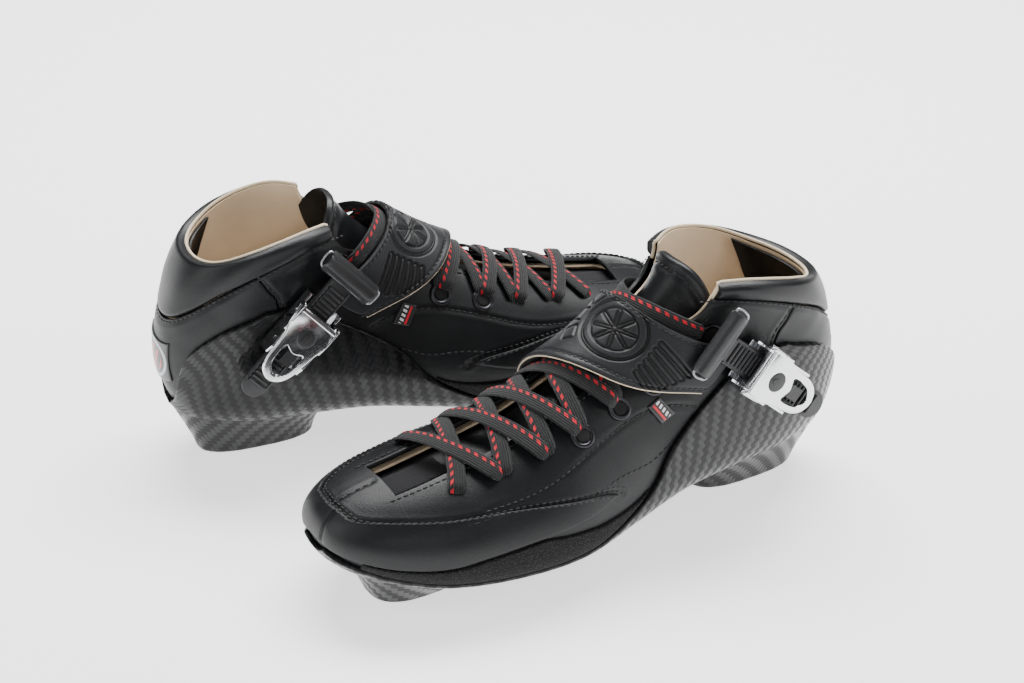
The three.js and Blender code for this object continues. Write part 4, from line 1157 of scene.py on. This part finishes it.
# %% [markdown]
# ## Stitches and eyelets
# Stitches repeat hundreds of times along the seams, so a Geometry Nodes group sets one short thread on
# each point, lying along the seam and standing on the hide. The same group sets the eyelet rings, and a
# dark disc inside each ring as painted shade in the hole.
# %% Repeats on points
def repeat_group():
    tree = bpy.data.node_groups.new("repeat_on_points", "GeometryNodeTree")
    face = tree.interface
    face.new_socket("Geometry", in_out="INPUT", socket_type="NodeSocketGeometry")
    kinds = {"Length": "Float", "Width": "Float", "Height": "Float", "Unevenness": "Float", "Seed": "Int",
             "Ring": "Bool", "Material": "Material"}
    for name, kind in kinds.items():
        face.new_socket(name, in_out="INPUT", socket_type=f"NodeSocket{kind}")
    face.new_socket("Geometry", in_out="OUTPUT", socket_type="NodeSocketGeometry")

    def node(kind, settings=None, inputs=None):
        made = tree.nodes.new(kind)
        for key, setting in (settings or {}).items():
            setattr(made, key, setting)
        for key, item in (inputs or {}).items():
            if isinstance(item, bpy.types.NodeSocket):
                tree.links.new(item, made.inputs[key])
            else:
                made.inputs[key].default_value = item
        return made

    entry = node("NodeGroupInput")
    put = {socket.name: socket for socket in entry.outputs if socket.name}
    sides = {0: put["Length"], 1: put["Width"], 2: put["Height"]}
    size = node("ShaderNodeCombineXYZ", None, sides).outputs[0]
    thread = node("GeometryNodeMeshUVSphere", None, {"Segments": 8, "Rings": 5, "Radius": 0.5})
    circle = node("GeometryNodeCurvePrimitiveCircle", None, {"Resolution": 24, "Radius": 0.4})
    profile = node("GeometryNodeCurvePrimitiveCircle", None, {"Resolution": 8, "Radius": 0.1})
    ring = node("GeometryNodeCurveToMesh", None, {0: circle.outputs[0], 1: profile.outputs[0]})
    either = node("GeometryNodeSwitch", {"input_type": "GEOMETRY"},
                  {0: put["Ring"], 1: thread.outputs["Mesh"], 2: ring.outputs[0]})
    vector = {"data_type": "FLOAT_VECTOR"}
    way = node("GeometryNodeInputNamedAttribute", vector, {"Name": "way"}).outputs[0]
    out = node("GeometryNodeInputNamedAttribute", vector, {"Name": "out"}).outputs[0]
    axes = {"primary_axis": "Z", "secondary_axis": "X"}
    turn = node("FunctionNodeAxesToRotation", axes, {0: out, 1: way})
    chance = node("FunctionNodeRandomValue", {"data_type": "FLOAT"}, {"Seed": put["Seed"]})
    chance.inputs[2].default_value, chance.inputs[3].default_value = -1.0, 1.0
    change = {0: chance.outputs[1], 1: put["Unevenness"], 2: 1.0}
    share = node("ShaderNodeMath", {"operation": "MULTIPLY_ADD"}, change)
    scaled = node("ShaderNodeVectorMath", {"operation": "SCALE"}, {0: size, "Scale": share.outputs[0]})
    copies = node("GeometryNodeInstanceOnPoints", None, {
        "Points": put["Geometry"], "Instance": either.outputs[0], "Rotation": turn.outputs[0],
        "Scale": scaled.outputs[0]})
    solid = node("GeometryNodeRealizeInstances", None, {0: copies.outputs[0]})
    coat = {"Geometry": solid.outputs[0], "Material": put["Material"]}
    node("NodeGroupOutput", None, {0: node("GeometryNodeSetMaterial", None, coat).outputs[0]})
    return tree


REPEAT = repeat_group()
SOCKETS = {item.name: item.identifier for item in REPEAT.interface.items_tree if item.in_out == "INPUT"}


def repeat(boot, name, points, ways, outs, size, material, slot, unevenness=0.08, ring=False, body="boots"):
    """Copies of a thread or ring on points in the boot's millimetres, made into one plain mesh."""
    turn = np.array([boot.along, boot.side, [0, 0, 1]])
    mesh = bpy.data.meshes.new(name)
    mesh.from_pydata([tuple(p) for p in boot.place(points)], [], [])
    for key, values in (("way", ways), ("out", outs)):
        attribute = mesh.attributes.new(key, "FLOAT_VECTOR", "POINT")
        attribute.data.foreach_set("vector", (values @ turn).ravel())
    holder = bpy.data.objects.new(name, mesh)
    bpy.context.scene.collection.objects.link(holder)
    modifier = holder.modifiers.new("copies", "NODES")
    modifier.node_group = REPEAT
    length, width, height = (side * MM for side in size)
    values = {"Length": length, "Width": width, "Height": height, "Unevenness": unevenness, "Seed": 3,
              "Ring": ring, "Material": material}
    for key, item in values.items():
        modifier[SOCKETS[key]] = item
    bpy.context.view_layer.update()
    copies = bpy.data.meshes.new_from_object(holder.evaluated_get(bpy.context.evaluated_depsgraph_get()))
    bpy.data.objects.remove(holder)
    copies.shade_smooth()
    piece = bpy.data.objects.new(f"{boot.name}_{name}", copies)
    bpy.context.scene.collection.objects.link(piece)
    if body:
        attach(piece, body)
    return piece


# %% Stitches
STITCH = (2.5, 0.85, 0.75)
STITCH_SPACING = 3.1


def run(pairs, lift):
    """A row of stitches on (u, angle) pairs at a lift: points, ways and outward ways."""
    us, angles = np.array(pairs, float).T
    t = np.linspace(0, len(us) - 1, 30 * len(us))
    u, angle = (smooth_curve(list(enumerate(v)))(t) for v in (us, angles))
    lift = value(lift, angle) if callable(lift) else lift
    line, above = skin(u, angle, lift), skin(u, angle, lift + 1.0)
    length = travelled(line)
    places = np.linspace(0, length[-1], max(int(length[-1] / STITCH_SPACING), 3))
    spots, tops = at_lengths(line, length, places), at_lengths(above, length, places)
    way = np.gradient(spots, axis=0)
    return spots, way / np.linalg.norm(way, axis=1, keepdims=True), tops - spots


SEAM_LIFTS = {"rand_upper": 0.12, "rand_lower": -0.3, "quarter": -0.3, "vamp_back": 0.1, "throat": 0.12,
              "toe": -0.35, "collar": -0.3, "counter": -0.3}
rows = [run(pairs, SEAM_LIFTS[name]) for name, runs in SEAMS.items() for pairs in runs]
rows += [run(TONGUE_BAND, -7.75)]
rows += [run(along_angle(rand_top, -80, 80, -0.006), 1.65)]
stitches = [np.vstack(part) for part in zip(*rows)]
strap_rows = [run(pairs, lambda angle: strap_lift(angle) + 2.0) for pairs in strap_hems]
strap_stitches = [np.vstack(part) for part in zip(*strap_rows)]
for boot in BOOTS:
    repeat(boot, "stitches", *stitches, STITCH, black_thread, "textile")
    row = repeat(boot, "strap_stitches", *strap_stitches, STITCH, black_thread, "textile", body=None)
    bend_with_ladder(boot, row)
print("stitches on each boot", len(stitches[0]) + len(strap_stitches[0]))

# %% Eyelets
ROUND_HOLES = [(u, side * a) for u, a in LACE_HOLES[3:] for side in (1, -1)]
eyelet_us, eyelet_angles = np.array(ROUND_HOLES).T
eyelet_points = skin(eyelet_us, eyelet_angles, 0.35)
eyelet_outs = skin(eyelet_us, eyelet_angles, 1.35) - eyelet_points
eyelet_ways = skin(eyelet_us + 0.01, eyelet_angles, 0.35) - eyelet_points
eyelet_places = (eyelet_points, eyelet_ways, eyelet_outs)
for boot in BOOTS:
    repeat(boot, "eyelets", *eyelet_places, (12, 12, 9), eyelet_metal, "dark_steel", 0.0, True)
    # painted shade: a flat dark disc fills the hole inside each eyelet ring
    repeat(boot, "eyelet_hole_shade", *eyelet_places, (9, 9, 1), painted_hole_shade, "textile", 0.0)
print("eyelets on each boot", len(ROUND_HOLES))

# %% [markdown]
# ## Badge and tag
# The heel carries a moulded badge with a silver outline and slanted red strokes. A small rubber label
# with a red bar sits beside the strap. Both designs are plain shapes drawn by the finish on the map.
# %% Badge and tag
badge_region = {"from": 158, "to": 202, "start": 0.802, "end": 0.862}
tag_region = {"from": 55, "to": 67, "start": 0.553, "end": 0.58}
badge_parts = cut_piece(badge_region, -0.1, 0.8, 0.8, 0.8)
tag_parts = cut_piece(tag_region, 0.05, 1.2, 0.8, 0.6)


def drawn_badge(name, parts, draw, ground):
    """A finish with shapes drawn on the piece's map, where x and y run from -1 to 1."""
    size = parts[2].max(0) / 2
    finish = Finish(name, Coat_Weight=0.4, Coat_Roughness=0.2, Roughness=0.4)
    along, around, _ = finish.cloth()
    colour = finish.noise(400, 2) * 0.02
    shade = finish.mix(colour, ground, shaded(ground, 1.5))
    for mask, tint in draw(around / float(size[1]) - 1, along / float(size[0]) - 1):
        shade = finish.mix(mask, shade, tint)
    finish.feed("Base Color", shade)
    return finish.material


def badge_shapes(x, y):
    reach = x * x + y * y
    ring = (reach > 0.62) * (reach < 0.86)
    slanted = (x + y * 0.35 + 2) % 0.42
    strokes = (slanted < 0.17) * (reach < 0.42)
    return [(ring, (0.42, 0.46, 0.5)), (strokes, (0.6, 0.01, 0.02))]


def tag_shapes(x, y):
    bar = (abs(y + 0.42) < 0.14) * (abs(x) < 0.8)
    slanted = (x + y * 0.2 + 2) % 0.4
    marks = (slanted < 0.22) * (abs(y - 0.18) < 0.26) * (abs(x) < 0.8)
    return [(bar, (0.62, 0.01, 0.02)), (marks, (0.72, 0.72, 0.72))]


badge_face = drawn_badge("heel_badge_face", badge_parts, badge_shapes, (0.012, 0.012, 0.014))
tag_face = drawn_badge("side_tag_face", tag_parts, tag_shapes, (0.012, 0.012, 0.014))
lay_on_both("heel_badge", badge_parts, badge_face, "heel_badge")
lay_on_both("side_tag", tag_parts, tag_face, "side_tag")

# %% [markdown]
# ## Ratchet buckle
# The lever is pressed from one polished sheet, with a round window for the release button and a long
# finger loop. A flat outline with holes, thickened with a rounded edge and then bent, gives that shape.
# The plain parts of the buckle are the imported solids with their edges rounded.
# %% Bent sheet
def outline(points, steps=10):
    """A smooth closed line through points, in millimetres."""
    ring = np.array(points, float)
    t = np.linspace(0, 1, steps, endpoint=False)[:, None]
    neighbours = zip(*(np.roll(ring, shift, axis=0) for shift in (1, 0, -1, -2)))
    return np.vstack([through(a, b, c, d, t) for a, b, c, d in neighbours])


def oval(x, y, half_x, half_y, count=28):
    turn = np.linspace(0, 2 * math.pi, count, endpoint=False)
    return np.stack([x + half_x * np.cos(turn), y + half_y * np.sin(turn)], -1)


def sheet_part(rings, thick, edge, cuts=()):
    """Points and faces of a flat sheet between closed lines, the first its outline and the rest its holes."""
    curve = bpy.data.curves.new("sheet", "CURVE")
    curve.dimensions, curve.fill_mode = "2D", "BOTH"
    curve.extrude, curve.bevel_depth, curve.bevel_resolution = thick / 2 - edge, edge, 2
    for ring in rings:
        spline = curve.splines.new("POLY")
        spline.points.add(len(ring) - 1)
        spline.points.foreach_set("co", np.hstack([ring, np.tile([0.0, 1.0], (len(ring), 1))]).ravel())
        spline.use_cyclic_u = True
    holder = bpy.data.objects.new("sheet", curve)
    bpy.context.scene.collection.objects.link(holder)
    bpy.context.view_layer.update()
    mesh = bpy.data.meshes.new_from_object(holder.evaluated_get(bpy.context.evaluated_depsgraph_get()))
    bpy.data.objects.remove(holder)
    work = bmesh.new()
    work.from_mesh(mesh)
    bmesh.ops.remove_doubles(work, verts=work.verts, dist=0.0005)
    for axis, places in cuts:
        for at in places:
            corner, normal = [0, 0, 0], [0, 0, 0]
            corner[axis], normal[axis] = at, 1
            everything = work.verts[:] + work.edges[:] + work.faces[:]
            bmesh.ops.bisect_plane(work, geom=everything, plane_co=corner, plane_no=normal)
    bmesh.ops.recalc_face_normals(work, faces=work.faces)
    points = np.array([v.co for v in work.verts])
    faces = [tuple(v.index for v in face.verts) for face in work.faces]
    work.free()
    if signed_volume(points, faces) < 0:
        faces = [tuple(reversed(face)) for face in faces]
    return points, faces


def no_map(points, faces):
    return points, faces, np.zeros((len(points), 2)), {}


# %% Lever
HALF_LEVER = 13.0
LEVER_TIP = 37.0
FLANGE_Y = 12.4
LEVER_TOP = 11.3


def mirrored(start, half, end):
    """A closed line that is the same on both sides of the buckle's middle."""
    return outline([start, *half, end, *((x, -y) for x, y in reversed(half))])


lever_line = mirrored((-1.6, 0), [
    (-1.6, 11.5), (-0.8, HALF_LEVER), (5, HALF_LEVER), (9, 12.4), (13, 11.0), (18, 9.9), (24, 9.4), (30, 8.3),
    (34.8, 5.4)], (LEVER_TIP, 0))
WINDOW_X = 9.6
button_window = oval(WINDOW_X, 0, 4.9, 5.4, 36)
finger_loop = outline([
    (18.6, 2.2), (17.4, 5.6), (19.4, 7.0), (25, 6.8), (30.5, 5.2), (34, 0), (30.5, -5.2), (25, -6.8),
    (19.4, -7.0), (17.4, -5.6), (18.6, -2.2), (19.2, 0)])
creases = [(0, np.arange(-1, LEVER_TIP, 1.5)), (1, np.arange(-12, 13, 2.0))]
bent, lever_faces = sheet_part([lever_line, button_window, finger_loop], 1.5, 0.7, creases)
droop = 0.0036 * np.clip(bent[:, 0] - 12, 0, None) ** 2 + 0.018 * np.clip(8 - bent[:, 0], 0, None) ** 2
bow = 0.006 * bent[:, 1] ** 2
bent[:, 2] += LEVER_TOP - droop - bow
flange_line = outline([
    (-3.4, 7.0), (-2.8, 10.6), (3, 10.9), (11, 10.4), (11.6, 9.4), (6, 6.8), (2.4, 4.4), (-0.6, 3.6)])
lever_pieces = [no_map(bent, lever_faces)]
for side in (1, -1):
    wall, wall_faces = sheet_part([flange_line], 1.3, 0.4)
    turned = np.stack([wall[:, 0], side * FLANGE_Y - wall[:, 2], wall[:, 1]], -1)
    lever_pieces.append(no_map(turned, wall_faces))
    lever_pieces.append(tube([(0, side * y, PIN_HEIGHT) for y in (12.8, 13.4, 13.9)], 1.9, 20))
hinge_barrel = [(-0.5, y, 10.5) for y in np.linspace(-11.6, 11.6, 9)]
lever_pieces.append(tube(hinge_barrel, 1.15, 18))
lever_parts = joined(*lever_pieces)
button_flat, button_faces = sheet_part([oval(WINDOW_X, 0, 4.0, 4.5, 36)], 2.0, 0.7)
button_flat[:, 2] += LEVER_TOP
tip_rest, tip_faces = sheet_part([oval(WINDOW_X, 0, 2.9, 1.6)], 0.8, 0.3)
tip_rest[:, 2] += LEVER_TOP + 1.0
button_parts = joined(no_map(button_flat, button_faces), no_map(tip_rest, tip_faces))


def fasten(name, parts, material, replaces, body):
    """Sets a piece in the buckle's frame down on each boot."""
    for boot in BOOTS:
        points, faces, cloth, marks = parts
        home = "boots" if body == "boots" else f"{boot.name}_{body}"
        piece = lay_down(boot, name, points, faces, material, home, cloth, marks, on_buckle=True)
        if replaces:
            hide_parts(f"{boot.name}_{replaces}")


fasten("buckle_lever", lever_parts, polished_steel, "buckle_lever", "lever")
fasten("release_button", button_parts, black_nylon, None, "lever")

# %% Ladder strap and cap
LADDER_END = 50.0
LADDER_HALF = 7
TOOTH_PITCH = 2.6
nose_x = LADDER_END - LADDER_HALF
nose = oval(nose_x, 0, LADDER_HALF, LADDER_HALF, 24)
ladder_line = np.vstack([
    [(-30, 6.6), (-30, -6.6), (nose_x, -LADDER_HALF)], nose[19:], nose[:6], [(nose_x, LADDER_HALF)]])
ladder_flat, ladder_faces = sheet_part([ladder_line], 1.6, 0.45)
ladder_flat[:, 2] += 3.5
ladder_pieces = [no_map(ladder_flat, ladder_faces)]
for x in np.arange(-17, LADDER_END - 6, TOOTH_PITCH):
    tooth = np.array([(x - 0.9, 4.1), (x - 0.75, 5.0), (x - 0.1, 5.35), (x + 0.6, 5.2), (x + 1.1, 4.1)])
    rings = [np.stack([tooth[:, 0], np.full(5, y), tooth[:, 1]], -1) for y in (-5.3, -5.0, 5.0, 5.3)]
    rings[0] = rings[0] * [1, 1, 0.97] + [0, 0, 0.1]
    ladder_pieces.append(loft(rings))
for side in (1, -1):
    rail = np.stack([np.linspace(-20, LADDER_END - 8, 30), np.full(30, side * 6.3), np.full(30, 4.35)], -1)
    ladder_pieces.append(tube(rail, 0.55, 8))
fasten("ladder_strap", joined(*ladder_pieces), black_nylon, "ladder_strap", "ladder")
CAP_X, CAP_HALF, CAP_ROUND = -27.0, 17.0, 1.6
cap_profile = np.array([
    (-5.9, 4.3), (-5.9, 5.4), (-4.9, 5.9), (-3.4, 6.4), (-2.2, 7.8), (-0.6, 8.4), (1.4, 8.3), (3.0, 7.4),
    (3.8, 5.9), (5.6, 5.5), (5.9, 4.9), (5.8, 4.3)])
CAP_MIDDLE = np.array([0, 5.6])
cap_end = CAP_HALF - np.array([CAP_ROUND, 0.5, 0])
cap_rings = []
for y in np.concatenate([-cap_end[::-1], np.linspace(-14, 14, 15), cap_end]):
    beyond = max(0.0, abs(y) - CAP_HALF + CAP_ROUND)
    close = math.sqrt(max(0.0, 1 - (beyond / (CAP_ROUND + 0.1)) ** 2))
    ring = CAP_MIDDLE + (cap_profile - CAP_MIDDLE) * (0.72 + 0.28 * close)
    cap_rings.append(np.stack([CAP_X + ring[:, 0], np.full(len(ring), y), ring[:, 1]], -1))
fasten("strap_end_cap", loft(cap_rings), black_nylon, "strap_end_cap", "ladder")
wire = outline([
    (-31, -15), (-30.6, -18.4), (-26, -18.8), (-22.4, -16), (-22, 0), (-22.4, 16), (-26, 18.8), (-30.6, 18.4),
    (-31, 15), (-30.5, 0)], 8)
wire_line = np.hstack([wire, np.full((len(wire), 1), 5.0)])
fasten("cap_wire", tube(np.vstack([wire_line, wire_line[:1]]), 0.65, 8), dull_steel, None, "ladder")

# %% Rounded copies of the plain solids
DARK = (dull_steel, "dark_steel")
PLAIN = {
    "buckle_base": (polished_steel, "steel", "boots", 0.35),
    "drive_pawl": (*DARK, "drive_pawl", 0.15),
    "release_pawl": (black_nylon, "plastic", "release_pawl", 0.2),
    "lever_pin": (dull_steel, "steel", "boots", 0.2),
    "drive_pawl_pin": (*DARK, "lever", 0.1),
    "release_pawl_pin": (*DARK, "boots", 0.1),
    "buckle_screw": (*DARK, "boots", 0.2),
    "screw_nut": (*DARK, "boots", 0.1),
    "cap_rivet": (*DARK, "ladder", 0.1),
    "heel_mount_insert": (*DARK, "boots", 0.2),
    "front_mount_insert": (*DARK, "boots", 0.2),
    "release_spring": (*DARK, "boots", 0.0),
}
SHARP = 0.6


def rounded_copy(boot, node, material, body, width):
    source = frame["nodes"][f"{boot.name}_{node}"]
    work = bmesh.new()
    work.from_mesh(source.data)
    bmesh.ops.remove_doubles(work, verts=work.verts, dist=1e-6)
    bmesh.ops.dissolve_limit(work, angle_limit=0.02, verts=work.verts, edges=work.edges)
    if width:
        sharp = [edge for edge in work.edges if len(edge.link_faces) == 2 and edge.calc_face_angle(0) > SHARP]
        bmesh.ops.bevel(work, geom=sharp, offset=width * MM, segments=2, profile=0.6, affect="EDGES",
                        clamp_overlap=True)
    mesh = bpy.data.meshes.new(f"{boot.name}_{node}_skin")
    bmesh.ops.recalc_face_normals(work, faces=work.faces)
    work.to_mesh(mesh)
    work.free()
    mesh.materials.clear()
    mesh.materials.append(material)
    piece = bpy.data.objects.new(f"{boot.name}_{node}_skin", mesh)
    bpy.context.scene.collection.objects.link(piece)
    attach(piece, body if body == "boots" else f"{boot.name}_{body}")
    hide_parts(source.name)


for boot in BOOTS:
    for node, (material, slot, body, width) in PLAIN.items():
        rounded_copy(boot, node, material, body, width)
print("rounded copies on each boot", len(PLAIN))


# %% [markdown]
# ## Light
# The boots stand on a plain white floor that meets a white surround. A large soft light above and a
# weaker one on each side draw the long pale highlights on the leather, the lacquer and the steel.
# %% Floor and lights
FLOOR_GLOW = 1.35
FLOOR_HALF = 6.0
WORLD_POWER = 0.14


def floor():
    glow = {"Emission_Color": (1, 1, 1, 1), "Emission_Strength": FLOOR_GLOW}
    finish = Finish("white_floor", Roughness=0.9, Specular_IOR_Level=0.1, **glow)
    cloud = finish.noise(3.0, 2)
    finish.feed("Base Color", finish.mix(cloud, (0.86, 0.86, 0.86), (0.88, 0.88, 0.88)))
    mesh = bpy.data.meshes.new("floor")
    corners = [(x * FLOOR_HALF, y * FLOOR_HALF, 0) for x, y in ((-1, -1), (1, -1), (1, 1), (-1, 1))]
    mesh.from_pydata(corners, [], [(0, 1, 2, 3)])
    mesh.materials.append(finish.material)
    plane = bpy.data.objects.new("floor", mesh)
    bpy.context.scene.collection.objects.link(plane)
    return plane


def area_light(name, place, size, power, aim=(0, 0, 0.07)):
    data = bpy.data.lights.new(name, "AREA")
    data.shape = "RECTANGLE"
    data.size, data.size_y = size
    data.energy = power
    light = bpy.data.objects.new(name, data)
    light.location = place
    light.rotation_euler = (Vector(place) - Vector(aim)).to_track_quat("Z", "Y").to_euler()
    bpy.context.scene.collection.objects.link(light)
    return light


world = bpy.data.worlds.new("surround")
bpy.context.scene.world = world
world.use_nodes = True
world.node_tree.nodes["Background"].inputs[0].default_value = (1, 1, 1, 1)
world.node_tree.nodes["Background"].inputs[1].default_value = WORLD_POWER
floor()
area_light("above", (0.1, 0.7, 1.4), (1.6, 0.6), 60)
area_light("left_side", (-1.3, -0.5, 0.8), (0.5, 1.2), 8)
area_light("right_side", (1.3, -0.4, 0.7), (0.4, 1.2), 8)
area_light("front", (0.0, -1.5, 0.9), (1.2, 0.25), 4)
print("world light", WORLD_POWER)
